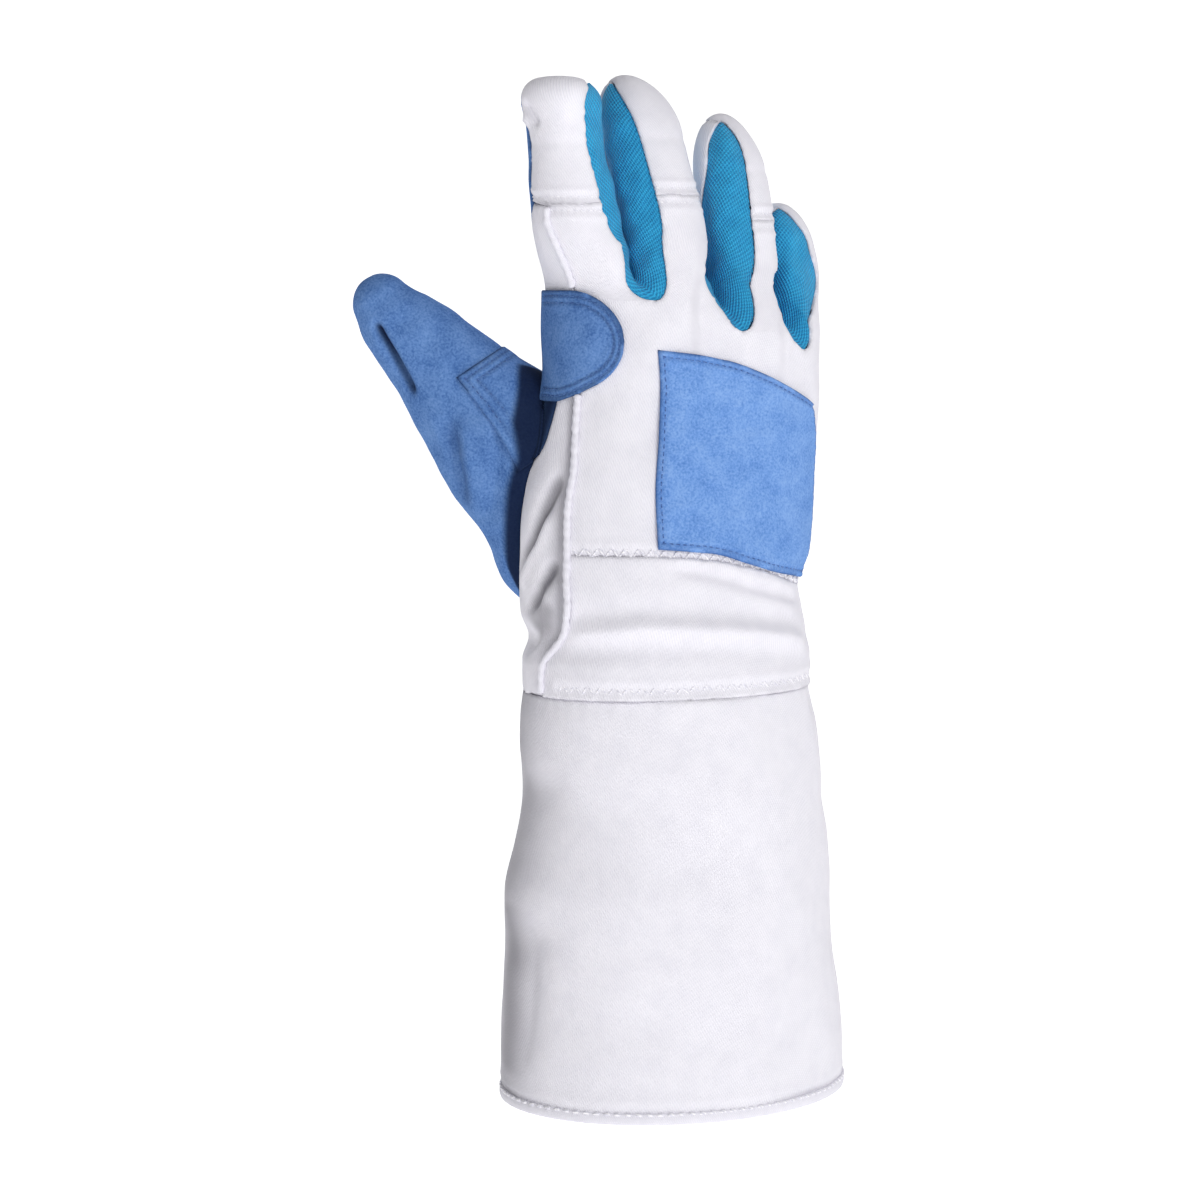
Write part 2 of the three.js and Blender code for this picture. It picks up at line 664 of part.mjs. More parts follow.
function handBack() {
  const triangles = FINGERS.flatMap((finger, index) => {
    const whole = finger.name === 'pinky';
    const top = whole ? CAP_SEAM_LEVEL : SEAM_LEVEL;
    return stripTriangles(backStrip(index), PADDED_WALL, 0, top, {
      low: HALF_GAP,
      high: whole ? 0 : HALF_GAP,
      joinStart: index > 0,
      joinEnd: index < FINGERS.length - 1,
    });
  });
  return weld([...triangles, ...capTriangles(backStrip(FINGERS.length - 1))]);
}

function tipBack(index) {
  const edges = { low: HALF_GAP, high: 0 };
  const strip = backStrip(index);
  const wall = stripTriangles(strip, PADDED_WALL, SEAM_LEVEL, CAP_SEAM_LEVEL, edges);
  return weld([...wall, ...capTriangles(strip)]);
}

function fingerFront(index) {
  const edges = { low: HALF_GAP, high: SEAM_GAP };
  const strip = frontStrip(index);
  return weld(stripTriangles(strip, PADDED_WALL, LOWER_ROWS, CAP_SEAM_LEVEL, edges));
}

function palmSuede() {
  const triangles = FINGERS.flatMap((finger, index) => {
    const whole = finger.name === 'index';
    const top = whole ? CAP_SEAM_LEVEL : LOWER_ROWS;
    return stripTriangles(frontStrip(index), SUEDE_WALL, 0, top, {
      low: HALF_GAP,
      high: whole ? SEAM_GAP : HALF_GAP,
      joinStart: index < FINGERS.length - 1,
      joinEnd: index > 0,
    });
  });
  return solidOf(weld(triangles));
}

// Knit gusset between two fingers: it runs down the side of one finger, through the web
// and up the other, and bows from the back seam over its middle to the front seam
const WEB_HALF = 0.9;
const WEB_TURN = 0.5;
const WEB_FOOT = 0.1;
function fourchette(index) {
  const left = { back: backStrip(index), front: frontStrip(index), share: 1, side: -1 };
  const right = { back: backStrip(index + 1), front: frontStrip(index + 1), share: 0, side: 1 };
  const fork = FORKS[index];
  const webZ = handZ(fork.webHeight);
  const sideAngle = (leg, z) => {
    const seams = fingerSeams(leg.back.finger, z);
    const near = leg.side < 0 ? seams.backRight : seams.backLeft;
    const far = leg.side < 0 ? seams.frontRight : seams.frontLeft - 360;
    return (near + far) / 2;
  };
  const sidePoint = (leg, z, depth) =>
    fingerPoint(leg.back.finger, sideAngle(leg, z), z, depth);
  const openZ = webZ + FORK_OPENING * HAND_WIDTH;
  const web = blend(sidePoint(left, openZ, 0), sidePoint(right, openZ, 0), 0.5);
  const middle = (leg, row, depth) => {
    const finger = leg.back.finger;
    const levelZ = fingerLevels(finger, webZ)[row];
    const level = row === CAP_SEAM_ROW ? levelZ - PANEL_END : levelZ;
    const t = row / FORK_ROWS;
    if (t >= 1) {
      return sidePoint(leg, level, depth);
    }
    const turn = ease(t / WEB_TURN) * 90 * DEGREE;
    const gap = WEB_HALF * Math.sqrt(clamp(t * (2 - t)));
    const low = [
      web[0] + leg.side * (gap + depth * Math.sin(turn)),
      web[1],
      level - depth * Math.cos(turn),
    ];
    return blend(low, sidePoint(leg, level, depth), ease((t - WEB_FOOT) / (1 - WEB_FOOT)));
  };
  const rim = (strip, share, row, depth) => {
    const level = fingerLevels(strip.finger, strip.forkAt(share))[row];
    const z = row === CAP_SEAM_ROW ? level - PANEL_END : level;
    return strip.pointAt(share, z, depth);
  };
  const last = CAP_SEAM_ROW;
  const grid = wallGrid(KNIT_SIDES, 2 * last, 0, KNIT_WALL, (i, j, depth) => {
    const leg = j < last ? right : left;
    const row = Math.abs(j - last);
    const near = rim(leg.back, leg.share, row, depth);
    const far = rim(leg.front, 1 - leg.share, row, depth);
    const bow = middle(leg, row, depth);
    const width = distance(near, bow) + distance(bow, far);
    const margin = Math.min(HALF_GAP / Math.max(width, HALF_GAP), MARGIN_SHARE);
    const t = mix(margin, 1 - margin, i / KNIT_SIDES);
    const weights = [(1 - t) * (1 - 2 * t), 4 * t * (1 - t), t * (2 * t - 1)];
    return near.map((value, axis) =>
      value * weights[0] + bow[axis] * weights[1] + far[axis] * weights[2]);
  });
  const knit = solidOf(weld(wallTriangles(grid, false)));
  const edges = { low: 0, high: 0, grow: SEAM_GAP };
  const cut = [left.back, left.front, right.back, right.front].reduce((rest, strip) => {
    const space = stripTriangles(strip, PADDED_WALL, LOWER_ROWS - 1, SEAM_LEVEL, edges);
    return rest.subtract(solidOf(weld(space)));
  }, knit);
  return geometryOf(largest(cut));
}

// White band round the wrist and the lower end of the side strip share these rows
const WRIST_ROWS = 5;
const BAND_SIDES = 24;

function wristRow(lowZ, highZ, row) {
  return mix(lowZ + HALF_GAP, highZ - HALF_GAP, row / WRIST_ROWS);
}

function wristBand() {
  const lower = WRIST_Z;
  const start = pipingAngle(WRIST_TOP);
  const end = stripPalmAngle(WRIST_TOP);
  const grid = wallGrid(BAND_SIDES, WRIST_ROWS, 0, PADDED_WALL, (i, j, depth) => {
    const share = i / BAND_SIDES;
    const z = wristRow(lower, wristZ(mix(start, end, share)), j);
    const left = handPoint(pipingAngle(z), z, 0);
    const margin = HALF_GAP / distance(left, handPoint(pipingAngle(z) + 1, z, 0));
    const from = pipingAngle(z) + margin;
    const to = stripPalmAngle(z) - margin;
    return handPoint(mix(from, to, share), z, depth);
  });
  return weld(wallTriangles(grid, false));
}

function radialStrip() {
  const strip = sideStrip();
  const onWrist = wallGrid(STRIP_SIDES, WRIST_ROWS, 0, PADDED_WALL, (i, j, depth) => {
    const share = i / STRIP_SIDES;
    const level = mix(WRIST_Z, strip.lowAt(share), j / WRIST_ROWS);
    const z = j === 0 ? level + HALF_GAP : level;
    const margin = edgeMargin(strip, z);
    return strip.pointAt(mix(margin, 1 - margin, share), z, depth);
  });
  const edges = { low: 0, high: HALF_GAP };
  const above = stripTriangles(strip, PADDED_WALL, 0, SEAM_LEVEL, edges);
  return weld([...wallTriangles(onWrist, false), ...above]);
}

// Padded cuff and the binding round its lower edge
const CUFF_ROWS = 8;
const HEM_ROWS = 2;
function cuffWall(lowZ, highZ, rows, outer, inner) {
  const grid = wallGrid(CUFF_SIDES - 1, rows, outer, inner, (i, j, depth) =>
    cuffPoint((360 * i) / CUFF_SIDES, mix(lowZ, highZ, j / rows), depth));
  return weld(wallTriangles(grid, true));
}

// Raised piping between two heights of the side strip's back seam
const PIPING_LIFT = 0.5;
const PIPING_STEP = 6;
const PIPING_SIDES = 5;
function piping(lowZ, highZ) {
  const strip = sideStrip();
  const count = Math.ceil((highZ - lowZ) / PIPING_STEP);
  const depth = -(PIPING_RADIUS + SEAM_GAP + PIPING_LIFT);
  const points = [];
  for (let i = 0; i <= count; i += 1) {
    points.push(new THREE.Vector3(...strip.pointAt(1, mix(lowZ, highZ, i / count), depth)));
  }
  const section = new THREE.Shape();
  section.absarc(0, 0, PIPING_RADIUS, 0, 2 * Math.PI);
  return new THREE.ExtrudeGeometry(section, {
    curveSegments: PIPING_SIDES,
    steps: count,
    bevelEnabled: false,
    extrudePath: new THREE.CatmullRomCurve3(points),
  });
}

// Thumb: a tapering tube with a round tip, turned and tilted away from the hand
const turnAngle = THUMB_TURN * DEGREE;
const tiltAngle = THUMB_TILT * DEGREE;
const RIGHT = [Math.cos(turnAngle), Math.sin(turnAngle), 0];
const THUMB_ALONG = [
  -Math.sin(tiltAngle) * RIGHT[0],
  -Math.sin(tiltAngle) * RIGHT[1],
  Math.cos(tiltAngle),
];
const THUMB_ACROSS = [
  Math.cos(tiltAngle) * RIGHT[0],
  Math.cos(tiltAngle) * RIGHT[1],
  Math.sin(tiltAngle),
];
const THUMB_DEEP = [-RIGHT[1], RIGHT[0], 0];

function thumbPoint(angle, at, depth) {
  const capStart = 1 - THUMB_CAP / THUMB_LENGTH;
  const cap = clamp((at - capStart) / (1 - capStart));
  const closing = Math.sqrt(1 - cap * cap);
  const power = 2 / THUMB_ROUND;
  const width = (along(THUMB_SECTIONS, at, 'width') * THUMB_WIDTH) / 2 - depth;
  const thick = (along(THUMB_SECTIONS, at, 'depth') * THUMB_DEPTH) / 2 - depth;
  const offset = along(THUMB_SECTIONS, at, 'offset') * THUMB_WIDTH;
  const across = offset + closing * width * signedPower(Math.sin(angle * DEGREE), power);
  const deep = -closing * thick * signedPower(Math.cos(angle * DEGREE), power);
  const up = at * THUMB_LENGTH - depth * cap;
  const base = [
    THUMB_BASE.x * HAND_WIDTH,
    THUMB_BASE.y * HAND_DEPTH,
    handZ(THUMB_BASE.height),
  ];
  return base.map((value, axis) =>
    value + up * THUMB_ALONG[axis] + across * THUMB_ACROSS[axis] + deep * THUMB_DEEP[axis]);
}

const THUMB_MOUTH_DEPTH = 7;
const THUMB_SIDES = 16;
const THUMB_ROWS = 11;
const THUMB_CAP_STEPS = [0.5, 0.8, 0.95, 1];
function thumbLevels() {
  const capStart = 1 - THUMB_CAP / THUMB_LENGTH;
  const start = THUMB_SECTIONS[0].at;
  const levels = [];
  for (let i = 0; i <= THUMB_ROWS; i += 1) {
    levels.push(mix(start, capStart, i / THUMB_ROWS));
  }
  return levels.concat(THUMB_CAP_STEPS.map((step) => mix(capStart, 1, step)));
}

// Closed solid from rings of points, with a flat end at each open ring
function ringSolid(rings) {
  const triangles = [];
  const count = rings[0].length;
  const centre = (ring) =>
    [0, 1, 2].map((axis) => ring.reduce((sum, point) => sum + point[axis], 0) / count);
  const low = centre(rings[0]);
  const high = centre(rings[rings.length - 1]);
  for (let i = 0; i < count; i += 1) {
    const k = (i + 1) % count;
    for (let j = 0; j < rings.length - 1; j += 1) {
      triangles.push([rings[j][i], rings[j][k], rings[j + 1][k]]);
      triangles.push([rings[j][i], rings[j + 1][k], rings[j + 1][i]]);
    }
    triangles.push([low, rings[0][k], rings[0][i]]);
    triangles.push([high, rings[rings.length - 1][i], rings[rings.length - 1][k]]);
  }
  return solidOf(weld(triangles));
}

function thumbSolid(depth) {
  return ringSolid(thumbLevels().map((at) => {
    const ring = [];
    for (let i = 0; i < THUMB_SIDES; i += 1) {
      ring.push(thumbPoint((360 * i) / THUMB_SIDES, at, depth));
    }
    return ring;
  }));
}

// Space that the hand takes, with the seam gap round it, which the thumb stays out of
const HAND_SPACE_SIDES = 36;
const HAND_SPACE_ROWS = 14;
const HAND_SPACE_TOP = 1.1;
function handSpace(clearance) {
  const rings = [];
  for (let j = 0; j <= HAND_SPACE_ROWS; j += 1) {
    const z = mix(WRIST_Z, handZ(HAND_SPACE_TOP), j / HAND_SPACE_ROWS);
    const ring = [];
    for (let i = 0; i < HAND_SPACE_SIDES; i += 1) {
      ring.push(handPoint((360 * i) / HAND_SPACE_SIDES, z, -clearance));
    }
    rings.push(ring);
  }
  return ringSolid(rings);
}

// Patches: walls that lie a seam gap off the piece below
const PATCH_LIFT = 2 * SEAM_GAP;
const PATCH_COLUMNS = 12;
const PATCH_ROWS = 6;
function backPatch() {
  const outer = -(PATCH_LIFT + PATCH_WALL);
  const grid = wallGrid(PATCH_COLUMNS, PATCH_ROWS, outer, -PATCH_LIFT, (i, j, depth) => {
    const share = i / PATCH_COLUMNS;
    const top = along(BACK_PATCH_EDGES, share, 'top');
    const bottom = along(BACK_PATCH_EDGES, share, 'bottom');
    const angle = along(BACK_PATCH_EDGES, share, 'angle');
    return handPoint(angle, handZ(mix(bottom, top, j / PATCH_ROWS)), depth);
  });
  return weld(wallTriangles(grid, false));
}

function knucklePatch(outer, inner, margin) {
  const patch = KNUCKLE_PATCH;
  const grid = wallGrid(PATCH_COLUMNS, PATCH_ROWS, outer, inner, (i, j, depth) => {
    const angle = mix(patch.outer - margin, patch.tip + margin, i / PATCH_COLUMNS);
    const bend = clamp((angle - patch.bend) / (patch.tip + margin - patch.bend));
    const round = (1 - bend ** KNUCKLE_PATCH_ROUND) ** (1 / KNUCKLE_PATCH_ROUND);
    const reach = (patch.half * HAND_LENGTH + margin) * round;
    const z = handZ(patch.middle) + reach * (2 * (j / PATCH_ROWS) - 1);
    return handPoint(angle, z, depth);
  });
  return weld(wallTriangles(grid, false));
}

function thumbPatchWall() {
  const first = THUMB_PATCH_EDGES[0].at;
  const last = THUMB_PATCH_EDGES[THUMB_PATCH_EDGES.length - 1].at;
  const outer = -(PATCH_LIFT + PATCH_WALL);
  const grid = wallGrid(PATCH_COLUMNS, PATCH_ROWS, outer, -PATCH_LIFT, (i, j, depth) => {
    const at = mix(first, last, j / PATCH_ROWS);
    const free = along(THUMB_PATCH_EDGES, at, 'free');
    const hidden = along(THUMB_PATCH_EDGES, at, 'hidden');
    return thumbPoint(mix(free, hidden, i / PATCH_COLUMNS), at, depth);
  });
  return solidOf(weld(wallTriangles(grid, false)));
}

// The thumb stands on the hand, and its hollow opens into the palm
const handTaken = handSpace(THUMB_CLEARANCE);
const patchReach = PATCH_LIFT + PATCH_WALL + SEAM_GAP;
const patchTaken = solidOf(knucklePatch(-patchReach, PATCH_WALL, PATCH_MARGIN));
const thumbHollow = thumbSolid(SUEDE_WALL);
const clearOfHand = (solid) => geometryOf(solid.subtract(handTaken).subtract(patchTaken));
const thumbMouth = thumbSolid(THUMB_MOUTH_DEPTH);
const openToThumb = (solid) => geometryOf(solid.subtract(thumbMouth));

const MATERIALS = {
  white: { color: 0xe9e7ee, roughness: 0.85, metalness: 0 },
  suede: { color: 0x5578b4, roughness: 0.9, metalness: 0 },
  knit: { color: 0x2f9fd0, roughness: 0.8, metalness: 0 },
};

const glove = new THREE.Group();
function addPiece(name, finish, geometry) {
  const piece = new THREE.Mesh(geometry, new THREE.MeshStandardMaterial(MATERIALS[finish]));
  piece.name = name;
  glove.add(piece);
}

const cuffLow = HEM_HEIGHT + SEAM_GAP;
const cuffTop = CUFF_LENGTH - HALF_GAP;
const patchLow = handZ(KNUCKLE_PATCH.middle - KNUCKLE_PATCH.half) - PATCH_MARGIN;
const patchHigh = handZ(KNUCKLE_PATCH.middle + KNUCKLE_PATCH.half) + PATCH_MARGIN;
const indexSeam = crossSeamOf(FINGERS[0]);
addPiece('cuff', 'white', cuffWall(cuffLow, cuffTop, CUFF_ROWS, 0, CUFF_WALL));
addPiece('cuff_hem', 'white', cuffWall(0, HEM_HEIGHT, HEM_ROWS, -HEM_PROUD, CUFF_WALL));
addPiece('wrist_band', 'white', wristBand());
addPiece('side_strip', 'white', radialStrip());
addPiece('side_piping_lower', 'white', piping(WRIST_Z + PIPING_END, patchLow));
addPiece('side_piping_upper', 'white', piping(patchHigh, indexSeam - PIPING_END));
addPiece('hand_back', 'white', handBack());
FINGERS.forEach((finger, index) => {
  if (finger.name !== 'pinky') {
    addPiece(`${finger.name}_tip_back`, 'white', tipBack(index));
  }
  if (index > 0) {
    addPiece(`${finger.name}_front`, 'white', fingerFront(index));
    const name = `${FINGERS[index - 1].name}_${finger.name}_fourchette`;
    addPiece(name, 'knit', fourchette(index - 1));
  }
});
addPiece('palm_suede', 'suede', openToThumb(palmSuede()));
const thumbWall = thumbSolid(0).subtract(thumbHollow);
addPiece('thumb', 'suede', clearOfHand(thumbWall));
addPiece('thumb_patch', 'suede', clearOfHand(thumbPatchWall()));
addPiece('knuckle_patch', 'suede', knucklePatch(-(PATCH_LIFT + PATCH_WALL), -PATCH_LIFT, 0));
addPiece('back_patch', 'suede', backPatch());

export default glove;
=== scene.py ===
"""Fencing glove for the right hand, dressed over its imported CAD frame.

The glove stands in its worn form: back of the hand towards -Y, palm towards +Y, thumb
towards -X and fingers up. Forms are worked out in millimetres by the CAD's own formulas,
on finer grids, and put into meshes in metres.
"""

from __future__ import annotations

import logging
from dataclasses import dataclass, field
from enum import Enum
from typing import Callable

import bpy
import numpy as np
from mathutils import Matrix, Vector

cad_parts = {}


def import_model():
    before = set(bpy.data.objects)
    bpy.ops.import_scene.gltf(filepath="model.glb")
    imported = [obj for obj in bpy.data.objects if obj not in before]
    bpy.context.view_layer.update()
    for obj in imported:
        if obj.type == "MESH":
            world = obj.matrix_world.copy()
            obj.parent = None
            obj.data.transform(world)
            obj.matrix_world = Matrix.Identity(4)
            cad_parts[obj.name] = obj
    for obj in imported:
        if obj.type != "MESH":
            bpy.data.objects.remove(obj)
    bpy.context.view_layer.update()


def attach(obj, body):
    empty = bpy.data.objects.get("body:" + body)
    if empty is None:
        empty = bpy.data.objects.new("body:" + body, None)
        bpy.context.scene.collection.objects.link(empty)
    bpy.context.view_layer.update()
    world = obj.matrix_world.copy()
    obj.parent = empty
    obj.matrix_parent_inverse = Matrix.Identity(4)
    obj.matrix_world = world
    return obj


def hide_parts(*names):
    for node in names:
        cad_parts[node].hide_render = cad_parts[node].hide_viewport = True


LOG = logging.getLogger("glove")
Array = np.ndarray
RADIAN: float = np.pi / 180.0


# Sizes of the glove in millimetres, the same as the CAD's
@dataclass(frozen=True)
class GloveSizes:
    """Driving sizes of the glove in millimetres."""

    cuff_length: float = 148.0
    cuff_width: float = 126.0
    cuff_depth: float = 102.0
    hand_length: float = 140.0
    hand_width: float = 106.0
    hand_depth: float = 48.0
    thumb_length: float = 105.0
    thumb_width: float = 56.0
    thumb_depth: float = 34.0
    padded_wall: float = 2.8
    cuff_wall: float = 2.4
    suede_wall: float = 1.4
    knit_wall: float = 1.2
    patch_wall: float = 1.1
    patch_lift: float = 0.6
    piping_radius: float = 1.2
    hem_height: float = 4.2
    hem_proud: float = 0.8
    rise: float = 0.19
    curl_power: float = 1.6

    @property
    def knuckle_z(self) -> float:
        """Height of the knuckles."""
        return self.cuff_length + self.hand_length

    @property
    def patch_face(self) -> float:
        """How far a patch's face stands off what it is sewn to."""
        return self.patch_lift + self.patch_wall

    def hand_z(self, share: Array) -> Array:
        """Height of a share of the hand's length above the cuff."""
        return self.cuff_length + np.asarray(share, float) * self.hand_length


SIZES = GloveSizes()


class Curves:
    """Named columns of a table, read between its rows along curves that never overshoot."""

    def __init__(self, names: str, *rows: tuple[float, ...]) -> None:
        """Keeps the rows and works out a slope for each.

        Args:
            names: names of the columns after the first, which holds the place.
            rows: places and values, places rising.
        """
        data = np.array(rows, float)
        self.places = data[:, 0]
        self.columns = dict(zip(names.split(), data[:, 1:].T))
        self.slopes = {name: self._slopes(column) for name, column in self.columns.items()}

    def _slopes(self, column: Array) -> Array:
        """Slope at each row: the harmonic mean of the secants beside it, zero at a peak.

        Args:
            column: the column's values.

        Returns:
            One slope for each row.
        """
        secants = np.diff(column) / np.diff(self.places)
        slopes = np.empty_like(column)
        slopes[0], slopes[-1] = secants[0], secants[-1]
        before, after = secants[:-1], secants[1:]
        rising = before * after > 0
        total = np.where(rising, before + after, 1.0)
        slopes[1:-1] = np.where(rising, 2 * before * after / total, 0.0)
        return slopes

    def at(self, place: Array, name: str) -> Array:
        """Value of a column at a place: the cubic through the rows with their slopes.

        Args:
            place: where to read the column, held to the first and last rows.
            name: the column's name.

        Returns:
            The values.
        """
        place = np.asarray(place, float)
        row = np.clip(np.searchsorted(self.places, place, side="left") - 1, 0, len(self.places) - 2)
        start = self.places[row]
        span = self.places[row + 1] - start
        t = np.clip((place - start) / span, 0.0, 1.0)
        values, slopes = self.columns[name], self.slopes[name]
        return (
            values[row] * (2 * t**3 - 3 * t**2 + 1)
            + slopes[row] * span * (t**3 - 2 * t**2 + t)
            + values[row + 1] * (3 * t**2 - 2 * t**3)
            + slopes[row + 1] * span * (t**3 - t**2)
        )


def signed_power(value: Array, power: Array) -> Array:
    """The sign of a value times its size to a power."""
    return np.sign(value) * np.abs(value) ** power


def mix(a: Array, b: Array, share: Array) -> Array:
    """Value between a and b at a share."""
    return a + (b - a) * share


def ease(value: Array) -> Array:
    """Smooth step from 0 to 1: three squares less two cubes."""
    t = np.clip(value, 0.0, 1.0)
    return t * t * (3 - 2 * t)


def grid(columns: int, rows: int) -> tuple[Array, Array]:
    """Shares from 0 to 1 across a grid, as a row, and up it, as a column."""
    return np.linspace(0, 1, columns)[None], np.linspace(0, 1, rows)[:, None]


def alike(*values: Array) -> tuple[Array, ...]:
    """The values as arrays of floats that all have one shape."""
    return tuple(np.broadcast_arrays(*(np.asarray(value, float) for value in values)))


CUFF_SECTIONS = Curves(
    "width depth shift",
    (0.0, 1.025, 1.0, 0.006), (0.1, 1.03, 0.99, 0.008), (0.25, 1.005, 0.965, 0.006),
    (0.4, 0.98, 0.93, -0.004), (0.52, 0.975, 0.9, -0.006), (0.63, 0.935, 0.87, 0.001),
    (0.74, 0.895, 0.84, 0.003), (0.85, 0.9, 0.81, -0.006), (0.94, 0.885, 0.78, -0.012),
    (1.0, 0.855, 0.76, -0.016),
)
OVAL_NAMES = "width", "depth", "shift", "arch", "round"
HAND_SECTIONS = Curves(
    " ".join(OVAL_NAMES),
    (0.0, 1.016, 1.6, -0.019, 0.0, 2.1), (0.08, 1.025, 1.54, -0.022, 0.0, 2.1),
    (0.14, 0.985, 1.46, -0.016, 0.0, 2.1), (0.2, 1.0, 1.4, -0.032, 0.02, 2.15),
    (0.26, 0.995, 1.32, -0.037, 0.04, 2.2), (0.35, 1.03, 1.24, -0.012, 0.08, 2.25),
    (0.51, 1.045, 1.13, 0.014, 0.12, 2.3), (0.66, 1.02, 1.04, 0.054, 0.14, 2.35),
    (0.815, 0.995, 0.99, 0.078, 0.16, 2.4), (1.0, 1.0, 0.92, 0.08, 0.17, 2.4),
    (1.115, 1.0, 0.86, 0.072, 0.17, 2.4),
)
STRIP_EDGES = Curves(
    "piping palm",
    (0.0, -79, -125), (0.08, -76, -124), (0.13, -70, -123), (0.19, -60, -121),
    (0.26, -57, -119), (0.45, -57, -111), (0.55, -56, -98), (0.64, -59, -84),
    (0.75, -62, -80), (0.89, -64, -96), (1.0, -65, -112), (1.2, -65, -116),
)
WRIST_SEAM = Curves(
    "height",
    (-80, 0.36), (-20, 0.355), (0, 0.342), (20, 0.315), (70, 0.258), (180, 0.25),
    (236, 0.245), (260, 0.25),
)
WRIST_TOP: float = 0.36


@dataclass(frozen=True)
class Fork:
    """Border between two fingers: angles round the hand and heights as shares of its length.

    The pocket is the rounded lower end of the knit on the back: its reach to either side
    and its height, in millimetres.
    """

    back: float
    back_height: float
    palm: float
    palm_height: float
    web_height: float
    pocket_before: float
    pocket_after: float
    pocket_height: float

    def pocket(self, height: Array, before: bool) -> Array:
        """Reach of the pocket to one side at a height above the fork: a quarter of an ellipse."""
        t = np.clip(height / self.pocket_height, 0.0, 1.0)
        return (self.pocket_before if before else self.pocket_after) * np.sqrt(1 - (1 - t) ** 2)

    def fading(self, height: Array) -> Array:
        """Share of the pocket that is left at a height: all of it, then none."""
        return 1 - ease((height - 12.0) / 30.0)


FORKS = (
    Fork(-23, 0.99, 202, 1.0, 1.045, 10.2, 4.6, 8.0),
    Fork(6, 0.912, 174, 0.97, 1.0, 9.0, 7.6, 18.0),
    Fork(42, 0.863, 146, 0.9, 0.945, 11.0, 8.0, 15.0),
)
OUTER_ANGLE: float = 108.0
OUTER_HEIGHT: float = 0.86
INNER_HEIGHT: float = 1.0


def cuff_point(angle: Array, z: Array, depth: Array = 0.0) -> Array:
    """Point on the cuff: an ellipse at each height, shifted sideways.

    Args:
        angle: degrees round the cuff from the middle of its back towards the outer side.
        z: height.
        depth: how far inside the face.

    Returns:
        The points.
    """
    angle, z, depth = alike(angle, z, depth)
    at = z / SIZES.cuff_length
    width = CUFF_SECTIONS.at(at, "width") * SIZES.cuff_width / 2 - depth
    thick = CUFF_SECTIONS.at(at, "depth") * SIZES.cuff_depth / 2 - depth
    x = CUFF_SECTIONS.at(at, "shift") * SIZES.cuff_width
    turn = angle * RADIAN
    return np.stack([x + width * np.sin(turn), -thick * np.cos(turn), z], -1)


def hand_oval(z: Array) -> tuple[Array, ...]:
    """The hand's half width, half depth, shift sideways, sweep of its sides and roundness."""
    at = (z - SIZES.cuff_length) / SIZES.hand_length
    scales = SIZES.hand_width / 2, SIZES.hand_depth / 2, SIZES.hand_width, SIZES.hand_depth, 1.0
    return tuple(HAND_SECTIONS.at(at, name) * scale for name, scale in zip(OVAL_NAMES, scales))


def hand_point(angle: Array, z: Array, depth: Array = 0.0) -> Array:
    """Point on the hand: a rounded oval at each height, its sides swept back by the arch.

    Args:
        angle: degrees round the hand from the middle of its back towards the outer side.
        z: height.
        depth: how far inside the face.

    Returns:
        The points.
    """
    angle, z, depth = alike(angle, z, depth)
    width, thick, shift, arch, power = hand_oval(z)
    across = signed_power(np.sin(angle * RADIAN), 2 / power)
    back = signed_power(np.cos(angle * RADIAN), 2 / power)
    x = shift + (width - depth) * across
    return np.stack([x, -(thick - depth) * back + arch * across * across, z], -1)


